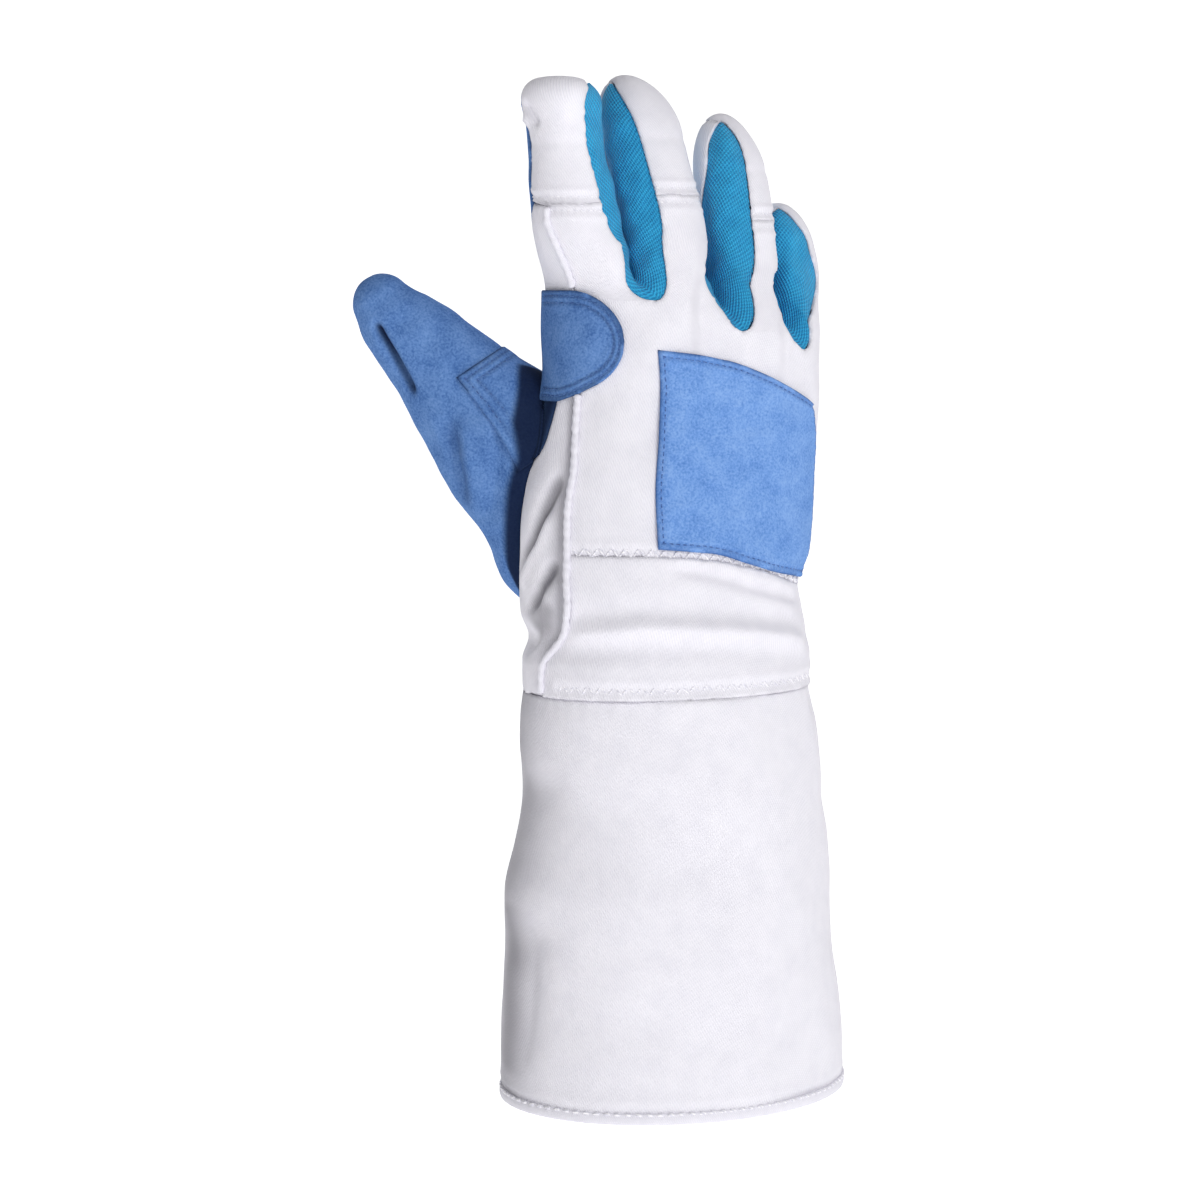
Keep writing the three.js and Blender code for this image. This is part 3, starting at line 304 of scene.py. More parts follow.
@dataclass(frozen=True)
class Finger:
    """One finger: its root and lean as shares, its cap, its girth and its seams by place.

    A place is 0 at the knuckles, 1 at the cross seam and 2 at the tip. Seams are the
    middle and half width of each side panel in degrees round the finger.
    """

    name: str
    length: float
    root_x: float
    root_y: float
    lean: float
    curl: float
    width: float
    cap: float
    cap_power: float
    cap_seam: float
    cross_seam: float
    girths: Curves
    seams: Curves

    @property
    def tip_z(self) -> float:
        """Height of the tip."""
        return SIZES.knuckle_z + self.length

    @property
    def seam_z(self) -> float:
        """Height of the cross seam."""
        return SIZES.knuckle_z + self.length * self.cross_seam

    @property
    def cap_seam_z(self) -> float:
        """Height where the side panels end and the tip closes."""
        return self.tip_z - self.cap + self.cap * self.cap_seam

    def place(self, z: Array) -> Array:
        """Place along the finger at a height: even from knuckles to seam and from seam to tip."""
        below = (z - SIZES.knuckle_z) / (self.seam_z - SIZES.knuckle_z)
        return np.where(z < self.seam_z, below, 1 + (z - self.seam_z) / (self.tip_z - self.seam_z))

    def point(self, angle: Array, z: Array, depth: Array = 0.0) -> Array:
        """Point on the finger: a circle round a leaning, curling middle line, closed by a cap.

        Args:
            angle: degrees round the finger from its back towards the outer side.
            z: height.
            depth: how far inside the face.

        Returns:
            The points.
        """
        angle, z, depth = alike(angle, z, depth)
        radius = self.girths.at(self.place(z), "girth") * self.width * SIZES.hand_width / 2
        cap = np.clip((z - self.tip_z + self.cap) / self.cap, 0.0, 1.0)
        closing = (1 - cap**self.cap_power) ** (1 / self.cap_power)
        reach = (z - SIZES.knuckle_z) / self.length
        x = self.root_x * SIZES.hand_width + self.lean * self.length * reach
        bend = signed_power(reach, SIZES.curl_power)
        y = self.root_y * SIZES.hand_depth + self.curl * self.length * bend
        radial, turn = (radius - depth) * closing, angle * RADIAN
        x, y = x + radial * np.sin(turn), y - radial * np.cos(turn)
        return np.stack([x, y, z - depth * cap], -1)

    def seam_angles(self, z: Array) -> dict[str, Array]:
        """Angles of the four seams; the side panels narrow to a point at the cap.

        Args:
            z: height.

        Returns:
            Degrees by seam.
        """
        place = self.place(z)
        cap = (z - self.tip_z + self.cap) / self.cap
        narrowing = np.sqrt(1 - np.clip(cap / self.cap_seam, 0.0, 1.0) ** 2)
        left, right = self.seams.at(place, "left"), self.seams.at(place, "right")
        left_half = self.seams.at(place, "left_half") * narrowing
        right_half = self.seams.at(place, "right_half") * narrowing
        return {
            "back_left": left + left_half,
            "back_right": right - right_half,
            "front_left": left - left_half + 360,
            "front_right": right + right_half,
        }


SEAM_NAMES = "left left_half right right_half"
FINGERS = (
    Finger(
        "index", 76.5, -0.314, 0.04, -0.158, -0.037, 0.302, 12, 2.6, 0.87, 0.42,
        Curves(
            "girth",
            (-0.6, 1.06), (0.28, 1.05), (0.6, 1.01), (0.92, 0.965), (1.15, 0.93),
            (1.37, 0.84), (1.58, 0.82), (1.8, 0.89), (2, 0.925),
        ),
        Curves(
            SEAM_NAMES,
            (-0.2, -88, 28, 74, 45), (0.5, -88, 29, 73, 46), (0.8, -87, 24, 70, 49),
            (0.999, -80, 16, 68, 53), (1.001, -96, 0, 68, 53), (1.5, -96, 0, 64, 54),
            (1.8, -108, 0, 66, 54),
        ),
    ),
    Finger(
        "middle", 78.5, -0.022, -0.083, -0.118, 0.242, 0.294, 20, 2, 0.87, 0.45,
        Curves("girth", (-0.6, 0.98), (0.4, 0.99), (1.05, 1.0), (1.4, 0.945), (2, 0.89)),
        Curves(
            SEAM_NAMES,
            (0.0, -77, 41, 117, 30), (0.44, -74, 44, 117, 32), (0.75, -71, 47, 117, 33),
            (1.38, -73, 45, 117, 33), (1.6, -77, 46, 116, 33), (1.9, -81, 47, 115, 33),
        ),
    ),
    Finger(
        "ring", 65.5, 0.259, 0.0, -0.024, 0.213, 0.259, 20, 2, 0.87, 0.41,
        Curves("girth", (-0.8, 1.005), (0.3, 1.005), (1.1, 0.99), (1.45, 0.94), (2, 0.86)),
        Curves(
            SEAM_NAMES,
            (0.0, -61, 54, 128, 30), (0.58, -57, 55, 128, 32), (1.0, -53, 51, 128, 32),
            (1.25, -43, 43, 128, 32), (1.55, -32, 35, 127, 32), (1.8, -30, 39, 126, 32),
        ),
    ),
    Finger(
        "pinky", 34.0, 0.49, 0.23, -0.01, 0.2, 0.236, 14, 2, 0.87, 0.55,
        Curves("girth", (-1, 1.0), (0.4, 0.96), (0.9, 0.91), (2, 0.8)),
        Curves(
            SEAM_NAMES,
            (-0.3, -27, 88, 128, 0), (0.28, -27, 85, 128, 0), (0.55, -28, 75, 128, 0),
            (0.8, -28, 63, 128, 0), (1.2, -27, 55, 128, 0), (1.5, -28, 48, 128, 0),
        ),
    ),
)


def piping_angle(z: Array) -> Array:
    """Angle of the piping round the hand at a height."""
    return STRIP_EDGES.at((z - SIZES.cuff_length) / SIZES.hand_length, "piping")


def strip_palm_angle(z: Array) -> Array:
    """Angle of the side strip's seam to the palm at a height, counted on past the back."""
    return STRIP_EDGES.at((z - SIZES.cuff_length) / SIZES.hand_length, "palm") + 360


def wrist_z(angle: Array) -> Array:
    """Height of the wrist seam at an angle round the hand."""
    return SIZES.hand_z(WRIST_SEAM.at(angle, "height"))


class Side(Enum):
    """Which strip of a finger."""

    BACK = "back"
    FRONT = "front"
    INNER = "inner"


@dataclass(frozen=True)
class Strip:
    """A strip that runs from the wrist up one side of a finger.

    Shares run round the hand: the back from the thumb side out, the front from the outer
    side in, and the inner strip from the palm to the piping.
    """

    number: int
    side: Side

    @property
    def finger(self) -> Finger:
        """The finger that the strip runs up."""
        return FINGERS[self.number]

    @property
    def forks(self) -> tuple[Fork | None, Fork | None]:
        """The forks before and after the strip's finger, where it has them."""
        return (None, *FORKS)[self.number], (*FORKS, None)[self.number]

    def hand_borders(self, z: Array) -> tuple[Array, Array]:
        """Angles round the hand of the strip's two borders at a height.

        Args:
            z: height.

        Returns:
            Degrees at share 0 and at share 1.
        """
        before, after = self.forks
        flat = np.zeros_like(z)
        if self.side is Side.BACK:
            start = flat + before.back if before else piping_angle(z)
            return start, flat + (after.back if after else OUTER_ANGLE)
        if self.side is Side.FRONT:
            start = flat + (after.palm if after else OUTER_ANGLE)
            return start, flat + before.palm if before else strip_palm_angle(z)
        return strip_palm_angle(z) - 360, piping_angle(z)

    def finger_borders(self, z: Array) -> tuple[Array, Array]:
        """Angles round the finger of the strip's two borders at a height.

        Args:
            z: height.

        Returns:
            Degrees at share 0 and at share 1.
        """
        seams = self.finger.seam_angles(z)
        if self.side is Side.BACK:
            return seams["back_left"], seams["back_right"]
        if self.side is Side.FRONT:
            return seams["front_right"], seams["front_left"]
        return seams["front_left"] - 360, seams["back_left"]

    def fork_z(self, share: Array) -> Array:
        """Height at which the strip leaves the hand: even between its two forks' heights.

        Args:
            share: share across the strip.

        Returns:
            The heights.
        """
        share = np.asarray(share, float)
        before, after = self.forks
        if self.side is Side.INNER:
            return SIZES.hand_z(INNER_HEIGHT + 0 * share)
        if self.side is Side.BACK:
            start = before.back_height if before else INNER_HEIGHT
            end = after.back_height if after else OUTER_HEIGHT
        else:
            start = after.palm_height if after else OUTER_HEIGHT
            end = before.palm_height if before else INNER_HEIGHT
        return SIZES.hand_z(mix(start, end, share))

    def split_z(self, share: Array) -> Array:
        """Height where the strip's grids on hand and finger meet: level near both forks."""
        level = mix(self.fork_z(0.0), self.fork_z(1.0), ease((share - 0.42) / 0.16))
        return level if self.side is Side.BACK else self.fork_z(share)

    def low_z(self, share: Array) -> Array:
        """Height of the strip's lower end at the wrist seam, by share across it."""
        start, end = self.hand_borders(np.asarray(SIZES.hand_z(WRIST_TOP)))
        return wrist_z(mix(start, end, share))

    def pocket_share(self, z: Array, after: bool) -> Array:
        """Share of a back strip's width that the knit's pocket takes at a height.

        The pocket takes what its reach is more than the border's own distance from the
        fork's line up the hand, as a share of the strip's width.

        Args:
            z: heights in millimetres.
            after: whether the pocket after the strip is meant, and not the one before it.

        Returns:
            The shares.
        """
        fork = self.forks[int(after)]
        if fork is None or self.side is not Side.BACK:
            return np.zeros_like(z)
        border, middle = self.point(float(after), z), self.point(0.5, z)
        half = np.linalg.norm(middle - border, axis=-1)
        inward = (middle - border) / half[:, None]
        apart = ((border - hand_point(fork.back, z)) * inward).sum(-1)
        height = z - SIZES.hand_z(fork.back_height)
        more = np.clip(fork.pocket(height, after) - apart, 0.0, None) * fork.fading(height)
        return more / (2 * half)

    def point(self, share: Array, z: Array, depth: Array = 0.0) -> Array:
        """Point on the strip: on the hand below the fork, eased over to the finger above it.

        Args:
            share: share across the strip.
            z: height.
            depth: how far inside the face.

        Returns:
            The points.
        """
        share, z, depth = alike(share, z, depth)
        turn = ease((z - self.fork_z(share)) / (SIZES.rise * SIZES.hand_length))[..., None]
        on_hand = hand_point(mix(*self.hand_borders(z), share), z, depth)
        on_finger = self.finger.point(mix(*self.finger_borders(z), share), z, depth)
        return mix(on_hand, on_finger, turn)


THUMB_SECTIONS = Curves(
    "offset width depth",
    (-0.26, -0.01, 0.6, 0.5), (-0.2, 0.013, 0.77, 0.66), (-0.1, 0.064, 0.9, 0.85),
    (0.06, 0.148, 0.97, 1.05), (0.18, 0.15, 1.0, 1.06), (0.3, 0.135, 0.945, 1.0),
    (0.435, 0.103, 0.81, 0.9), (0.6, 0.058, 0.67, 0.8), (0.75, 0.02, 0.58, 0.74),
    (0.83, -0.013, 0.5, 0.7), (0.93, -0.03, 0.37, 0.62), (1.0, -0.026, 0.33, 0.58),
)


@dataclass(frozen=True)
class ThumbForm:
    """The thumb: a tapering tube with a round tip, turned and tilted away from the hand."""

    base_x: float = -0.41
    base_y: float = 0.5
    base_height: float = 0.43
    turn: float = -25.0
    tilt: float = 34.0
    round: float = 2.2
    cap: float = 8.0

    def axes(self) -> tuple[Array, Array, Array]:
        """The thumb's own axes: turned about the upright and then tilted outwards.

        Returns:
            Directions along the thumb, across it towards the hand, and through it.
        """
        turn, tilt = self.turn * RADIAN, self.tilt * RADIAN
        right = np.array([np.cos(turn), np.sin(turn), 0.0])
        up = np.array([0.0, 0.0, 1.0])
        length = -np.sin(tilt) * right + np.cos(tilt) * up
        across = np.cos(tilt) * right + np.sin(tilt) * up
        return length, across, np.array([-right[1], right[0], 0.0])

    def point(self, angle: Array, at: Array, depth: Array = 0.0) -> Array:
        """Point on the thumb: a rounded oval at each share of its length.

        Args:
            angle: degrees round the thumb from the middle of its back towards the hand.
            at: share of its length.
            depth: how far inside the face.

        Returns:
            The points.
        """
        angle, at, depth = alike(angle, at, depth)
        cap_start = 1 - self.cap / SIZES.thumb_length
        cap = np.clip((at - cap_start) / (1 - cap_start), 0.0, 1.0)
        closing = np.sqrt(1 - cap * cap)
        width = THUMB_SECTIONS.at(at, "width") * SIZES.thumb_width / 2 - depth
        thick = THUMB_SECTIONS.at(at, "depth") * SIZES.thumb_depth / 2 - depth
        power = 2 / self.round
        offset = THUMB_SECTIONS.at(at, "offset") * SIZES.thumb_width
        across = offset + closing * width * signed_power(np.sin(angle * RADIAN), power)
        deep = -closing * thick * signed_power(np.cos(angle * RADIAN), power)
        up = at * SIZES.thumb_length - depth * cap
        x, y = self.base_x * SIZES.hand_width, self.base_y * SIZES.hand_depth
        place = np.array([x, y, SIZES.hand_z(self.base_height)])
        for amount, axis in zip((up, across, deep), self.axes()):
            place = place + amount[..., None] * axis
        return place


THUMB = ThumbForm()


# Surfaces
@dataclass
class Surface:
    """Points in millimetres, quads between them and, for each quad's corners, lengths along it."""

    points: Array
    quads: Array
    cloth: Array


def grid_surface(points: Array, around: bool = False) -> Surface:
    """Surface over a grid of points; around joins its last column to its first.

    Args:
        points: rows by columns of points, columns rightwards and rows upwards as seen
            from outside.
        around: whether the columns go round and meet.

    Returns:
        The surface, with lengths across and up the grid as its cloth's coordinates.
    """
    rows, columns = points.shape[:2]
    number = np.arange(rows * columns).reshape(rows, columns)
    full = points
    if around:
        number = np.concatenate([number, number[:, :1]], 1)
        full = np.concatenate([points, points[:, :1]], 1)
    across = np.linalg.norm(np.diff(full, axis=1), axis=-1)
    upward = np.linalg.norm(np.diff(full, axis=0), axis=-1)
    u = np.concatenate([np.zeros((rows, 1)), np.cumsum(across, 1)], 1)
    u = u - u.mean(1, keepdims=True)
    v = np.concatenate([[0.0], np.cumsum(upward.mean(1))])
    v = np.broadcast_to(v[:, None], u.shape)
    cloth = np.stack([u, v], -1)
    quads, maps = (
        np.stack([grid[:-1, :-1], grid[:-1, 1:], grid[1:, 1:], grid[1:, :-1]], 2)
        for grid in (number, cloth)
    )
    return Surface(points.reshape(-1, 3), quads.reshape(-1, 4), maps.reshape(-1, 4, 2))


def gather(parts: list[Surface]) -> Surface:
    """Puts surfaces into one, none of their points shared.

    Args:
        parts: the surfaces.

    Returns:
        One surface, each part's quads counted on from the parts before it.
    """
    starts = np.cumsum([0] + [len(part.points) for part in parts[:-1]])
    return Surface(
        np.concatenate([part.points for part in parts]),
        np.concatenate([part.quads + start for part, start in zip(parts, starts)]),
        np.concatenate([part.cloth for part in parts]),
    )


def weld(*parts: Surface, grain: float = 1e-3) -> Surface:
    """Joins surfaces: points at the same place become one, and some quads lose a corner.

    Args:
        parts: the surfaces.
        grain: how near in millimetres two points count as one.

    Returns:
        The joined surface.
    """
    whole = gather(list(parts))
    keys = np.round(whole.points / grain).astype(np.int64)
    _, first, same = np.unique(keys, axis=0, return_index=True, return_inverse=True)
    return Surface(whole.points[first], same.reshape(-1)[whole.quads], whole.cloth)


def normals_of(surface: Surface) -> Array:
    """Outward direction at each point: the sum of the cross products of its quads' diagonals.

    Args:
        surface: the surface.

    Returns:
        One direction of length 1 for each point.
    """
    p, q = surface.points, surface.quads
    face = np.cross(p[q[:, 2]] - p[q[:, 0]], p[q[:, 3]] - p[q[:, 1]])
    total = np.zeros_like(p)
    for corner in range(4):
        np.add.at(total, q[:, corner], face)
    return total / np.maximum(np.linalg.norm(total, axis=1, keepdims=True), 1e-12)


def border_segments(surface: Surface) -> Array:
    """The surface's border: each edge that only one quad uses.

    Args:
        surface: the surface.

    Returns:
        The two ends of each edge.
    """
    edges = np.concatenate([surface.quads[:, [i, (i + 1) % 4]] for i in range(4)])
    edges = edges[edges[:, 0] != edges[:, 1]]
    ordered = np.sort(edges, 1)
    _, first, count = np.unique(ordered, axis=0, return_index=True, return_counts=True)
    return surface.points[edges[first[count == 1]]]


def reach(points: Array, segments: Array) -> tuple[Array, Array]:
    """Distance from each point to the nearest segment, and how far along the chain it lies.

    Each point is set down on every segment, and the nearest foot counts.

    Args:
        points: points in millimetres.
        segments: pairs of ends, in order along a path where the place along it matters.

    Returns:
        Distances, and lengths along the chain of segments up to the nearest foot.
    """
    start, step = segments[:, 0], segments[:, 1] - segments[:, 0]
    size = np.maximum((step * step).sum(1), 1e-12)
    before = np.concatenate([[0.0], np.cumsum(np.sqrt(size))[:-1]])
    far = np.empty(len(points))
    place = np.empty(len(points))
    block = max(1, 4_000_000 // max(len(segments), 1))
    for low in range(0, len(points), block):
        chunk = points[low : low + block]
        offset = chunk[:, None, :] - start[None]
        share = np.clip((offset * step[None]).sum(-1) / size, 0.0, 1.0)
        gap = ((offset - share[..., None] * step[None]) ** 2).sum(-1)
        nearest = gap.argmin(1)
        pick = np.arange(len(chunk))
        far[low : low + block] = np.sqrt(gap[pick, nearest])
        place[low : low + block] = before[nearest] + share[pick, nearest] * np.sqrt(size[nearest])
    return far, place


def chain(path: Array) -> Array:
    """Segments between the points of a path."""
    return np.stack([path[:-1], path[1:]], 1)


# Relief on cloth and leather
class Relief:
    """Height in millimetres that a place on a surface stands out by."""

    def height(self, points: Array) -> Array:
        """Height at places on the surface; each relief's own formula follows in its class.

        Args:
            points: places in millimetres.

        Returns:
            Height at each place.
        """
        raise NotImplementedError


@dataclass(frozen=True)
class Groove(Relief):
    """A line pressed in or raised along a path: a bell across it, dying out at its ends."""

    path: Array
    rise: float
    width: float
    fade: float = 0.0

    def height(self, points: Array) -> Array:
        """The rise times a bell of the distance, eased in over the fade at both ends."""
        far, place = reach(points, chain(self.path))
        bell = self.rise * np.exp(-((far / self.width) ** 2))
        if self.fade <= 0:
            return bell
        total = np.linalg.norm(np.diff(self.path, axis=0), axis=1).sum()
        return bell * ease(place / self.fade) * ease((total - place) / self.fade)


@dataclass(frozen=True)
class Stitching(Relief):
    """A row of stitches pulled into the cloth: dimples along a path, with the cloth proud beside."""

    path: Array
    pitch: float
    pull: float
    width: float
    proud: float = 0.0
    side: float = 2.0

    def height(self, points: Array) -> Array:
        """A bell pressed in, deeper at each needle hole, and a wide bell proud beside it."""
        far, place = reach(points, chain(self.path))
        hole = 0.72 + 0.28 * np.cos(2 * np.pi * place / self.pitch)
        dip = -self.pull * hole * np.exp(-((far / self.width) ** 2))
        beside = self.proud * np.exp(-(((far - self.side) / self.width) ** 2))
        return dip + beside


@dataclass(frozen=True)
class Puckers(Relief):
    """Small pleats that a gathered seam throws: waves along a path that die out beside it."""

    path: Array
    pitch: float
    rise: float
    spread: float

    def height(self, points: Array) -> Array:
        """Two waves of unlike length along the path, times a bell of the distance."""
        far, place = reach(points, chain(self.path))
        wave = np.sin(2 * np.pi * place / self.pitch)
        wave = 0.6 * wave + 0.4 * np.sin(2 * np.pi * place / (self.pitch * 1.63) + 1.1)
        return self.rise * wave * np.exp(-((far / self.spread) ** 2))


@dataclass(frozen=True)
class Beyond(Relief):
    """Height that grows where another form is near: full at its face, nothing further off."""

    nearness: Callable[[Array], Array]
    rise: float
    full: float
    none: float

    def height(self, points: Array) -> Array:
        """The rise, eased from the place where it is none to the place where it is full."""
        return self.rise * ease((self.none - self.nearness(points)) / (self.none - self.full))


@dataclass(frozen=True)
class Softness(Relief):
    """Gentle unevenness of worn cloth: a sum of plane waves in seeded directions."""

    rise: float
    scale: float
    seed: int

    def height(self, points: Array) -> Array:
        """The mean of seven sines whose lengths lie round the scale, times the rise."""
        random = np.random.default_rng(self.seed)
        count = 7
        ways = random.normal(size=(count, 3))
        ways /= np.linalg.norm(ways, axis=1, keepdims=True)
        lengths = self.scale * random.uniform(0.7, 1.6, count)
        starts = random.uniform(0, 2 * np.pi, count)
        waves = np.sin(points @ (ways / lengths[:, None] * 2 * np.pi).T + starts)
        return self.rise * waves.mean(1) * 1.9


@dataclass(frozen=True)
class EdgeRoll(Relief):
    """The edge of a sewn panel turning in: pressed down at the border, full a little way in."""

    segments: Array
    drop: float
    width: float

    def height(self, points: Array) -> Array:
        """Minus the drop, times a half circle's fall over the width from the border."""
        inward = np.clip(reach(points, self.segments)[0] / self.width, 0.0, 1.0)
        return -self.drop * (1 - np.sqrt(1 - (1 - inward) ** 2))


@dataclass(frozen=True)
class Inset(Relief):
    """Another relief that dies out towards the border."""

    segments: Array
    inner: Relief
    width: float

    def height(self, points: Array) -> Array:
        """The inner relief's height, eased in over the width from the border."""
        return self.inner.height(points) * ease(reach(points, self.segments)[0] / self.width)


@dataclass(frozen=True)
class Dent(Relief):
    """A soft hollow or swelling round one place: a bell of the distance."""

    place: Array
    rise: float
    radius: float

    def height(self, points: Array) -> Array:
        """The rise times a bell of the distance to the place."""
        far = np.linalg.norm(points - self.place, axis=1)
        return self.rise * np.exp(-((far / self.radius) ** 2))


def relieved(surface: Surface, *reliefs: Relief) -> Surface:
    """The surface with every relief added along its outward direction.

    Args:
        surface: the plain surface.
        reliefs: what stands out of it or is pressed in.

    Returns:
        The surface in relief.
    """
    total = np.zeros(len(surface.points))
    for relief in reliefs:
        total += relief.height(surface.points)
    moved = surface.points + total[:, None] * normals_of(surface)
    return Surface(moved, surface.quads, surface.cloth)


# Finishes
def linear(code: str) -> tuple[float, float, float, float]:
    """Linear colour of an sRGB hex code: the standard curve on each channel."""
    values = np.array([int(code[i : i + 2], 16) for i in (1, 3, 5)]) / 255
    low = values / 12.92
    high = ((values + 0.055) / 1.055) ** 2.4
    red, green, blue = np.where(values <= 0.04045, low, high)
    return float(red), float(green), float(blue), 1.0


def per_metre(millimetres: float) -> float:
    """How many repeats of a length in millimetres fit in a metre."""
    return 1000.0 / millimetres


class Recipe:
    """Node tree of a material or of the world, filled one node at a time."""

    def __init__(self, name: str, world: bool = False) -> None:
        """Starts a material, or a world, with its shader and output."""
        kind, shader = ("worlds", "Background") if world else ("materials", "Principled BSDF")
        self.owner = getattr(bpy.data, kind).new(name)
        self.owner.use_nodes = True
        self.tree = self.owner.node_tree
        self.shader = self.tree.nodes[shader]

    def add(
        self, kind: str, *inputs: object, output: int = 0, named: dict | None = None, **settings: object
    ) -> bpy.types.NodeSocket:
        """Adds one node with its settings and links.

        Args:
            kind: the node's type name after ShaderNode.
            inputs: values or other nodes' outputs for its first inputs, in order.
            output: number of the output that is wanted.
            named: values or outputs for further inputs, by name or number.
            settings: values of the node's own properties.

        Returns:
            The wanted output.
        """
        node = self.tree.nodes.new("ShaderNode" + kind)
        for key, value in settings.items():
            setattr(node, key, value)
        self.feed(node, dict(enumerate(inputs)) | (named or {}))
        return node.outputs[output]

    def feed(self, node: bpy.types.Node, inputs: dict) -> None:
        """Sets or links the inputs of a node, by name or number."""
        for key, value in inputs.items():
            socket = node.inputs[key]
            if isinstance(value, bpy.types.NodeSocket):
                self.tree.links.new(value, socket)
            else:
                socket.default_value = value

    def surface(self, **inputs: object) -> bpy.types.Material:
        """Gives the shader its inputs, whose names have underscores for spaces."""
        self.feed(self.shader, {key.replace("_", " "): value for key, value in inputs.items()})
        return self.owner


@dataclass(frozen=True)
class PaddedCloth:
    """Bright polyester cloth over thin foam: a fine twill that reads as dry slanting ribs.

    Real ribs are about 0.5 mm apart. They are drawn at the given pitch so that they show
    in the picture.
    """

    name: str = "white_padded_cloth"
    slot: str = "white_padded_fabric"
    colour: str = "#eceaf1"
    shade: str = "#c3c2d0"
    thread: float = 1.0
    slub: float = 7.0
    roughness: float = 0.85
    strength: float = 0.45
    # Colour of the painted shade in folds and on shaded sides, and of the darker seams.
    deep: str = "#75737b"

    def build(self) -> bpy.types.Material:
        """Cloth colour, darker in seams and between threads, faintly mottled, with woven bumps and
        painted shade in its folds and on its shaded side.
        """
        r = Recipe(self.name)
        cloth = r.add("UVMap", uv_map="cloth")
        place = r.add("TexCoord", output=3)
        seam = r.add("Attribute", output=2, attribute_name="seam")
        u = r.add("SeparateXYZ", cloth)
        v = r.add("SeparateXYZ", cloth, output=1)
        rate = 2 * np.pi * per_metre(self.thread)
        slant = r.add("Math", v, 0.55, u, operation="MULTIPLY_ADD")
        twill = r.add("Math", r.add("Math", slant, rate, operation="MULTIPLY"), operation="SINE")
        warp = r.add("Math", r.add("Math", u, rate * 1.3, operation="MULTIPLY"), operation="SINE")
        weave = r.add("Math", warp, 0.45, twill, operation="MULTIPLY_ADD")
        scale = {"Scale": per_metre(self.slub), "Detail": 4.0}
        slub = r.add("TexNoise", place, named=scale)
        fuzz = r.add("TexNoise", place, named={"Scale": per_metre(0.8), "Detail": 1.0})
        mottle = r.add("MapRange", slub, 0.35, 0.75, 0.0, 0.16)
        thready = r.add("Math", mottle, r.add("MapRange", weave, -1.4, 1.4, 0.24, -0.06))
        tone = linear(self.colour)
        # The first mix darkens between threads; the second paints shade from the seam attribute, with
        # the darker seams.
        for share, over in ((r.add("Clamp", thready), self.shade), (r.add("Clamp", seam), self.deep)):
            tones = {6: tone, 7: linear(over)}
            tone = r.add("Mix", share, output=2, named=tones, data_type="RGBA")
        height = r.add("Math", weave, 0.35, fuzz, operation="MULTIPLY_ADD")
        relief = {"Strength": self.strength, "Distance": 0.0003, "Height": height}
        return r.surface(
            Base_Color=tone,
            Roughness=self.roughness,
            Specular_IOR_Level=0.2,
            Sheen_Weight=0.1,
            Sheen_Roughness=0.5,
            Normal=r.add("Bump", named=relief),
        )


@dataclass(frozen=True)
class Suede:
    """Split cowhide with a raised nap: a dry, even blue with a fine grain and no gloss."""

    name: str
    slot: str
    colour: str
    dark: str
    light: str
    # Colour of the painted shade in creases and of the hand's painted shadow on the thumb, and of the
    # darker seams.
    deep: str
    brushed: float = 9.0
    nap: float = 0.8
    roughness: float = 0.95

    def build(self) -> bpy.types.Material:
        """The dye lighter and darker by broad and fine noise, deep in seams, with painted shade in
        creases and where the hand shadows the thumb.
        """
        r = Recipe(self.name)
        place = r.add("TexCoord", output=3)
        seam = r.add("Attribute", output=2, attribute_name="seam")
        broad = r.add("TexNoise", place, named={"Scale": per_metre(self.brushed), "Detail": 5.0})
        fine = r.add("TexNoise", place, named={"Scale": per_metre(self.nap), "Detail": 3.0})
        finer = r.add("Math", fine, 0.6, operation="MULTIPLY")
        both = r.add("Math", broad, 0.4, finer, operation="MULTIPLY_ADD")
        low = r.add("MapRange", both, 0.34, 0.5, 0.0, 1.0)
        high = r.add("MapRange", both, 0.5, 0.64, 0.0, 0.8)
        # Painted shade: the seam attribute turns the dye towards the deep colour.
        edge = r.add("Clamp", seam)
        tone = linear(self.dark)
        for share, over in ((low, self.colour), (high, self.light), (edge, self.deep)):
            tones = {6: tone, 7: linear(over)}
            tone = r.add("Mix", share, output=2, named=tones, data_type="RGBA")
        relief = {"Strength": 0.55, "Distance": 0.0004, "Height": both}
        return r.surface(
            Base_Color=tone,
            Roughness=self.roughness,
            Specular_IOR_Level=0.1,
            Sheen_Weight=0.12,
            Sheen_Roughness=0.5,
            Sheen_Tint=linear(self.light),
            Normal=r.add("Bump", named=relief),
        )


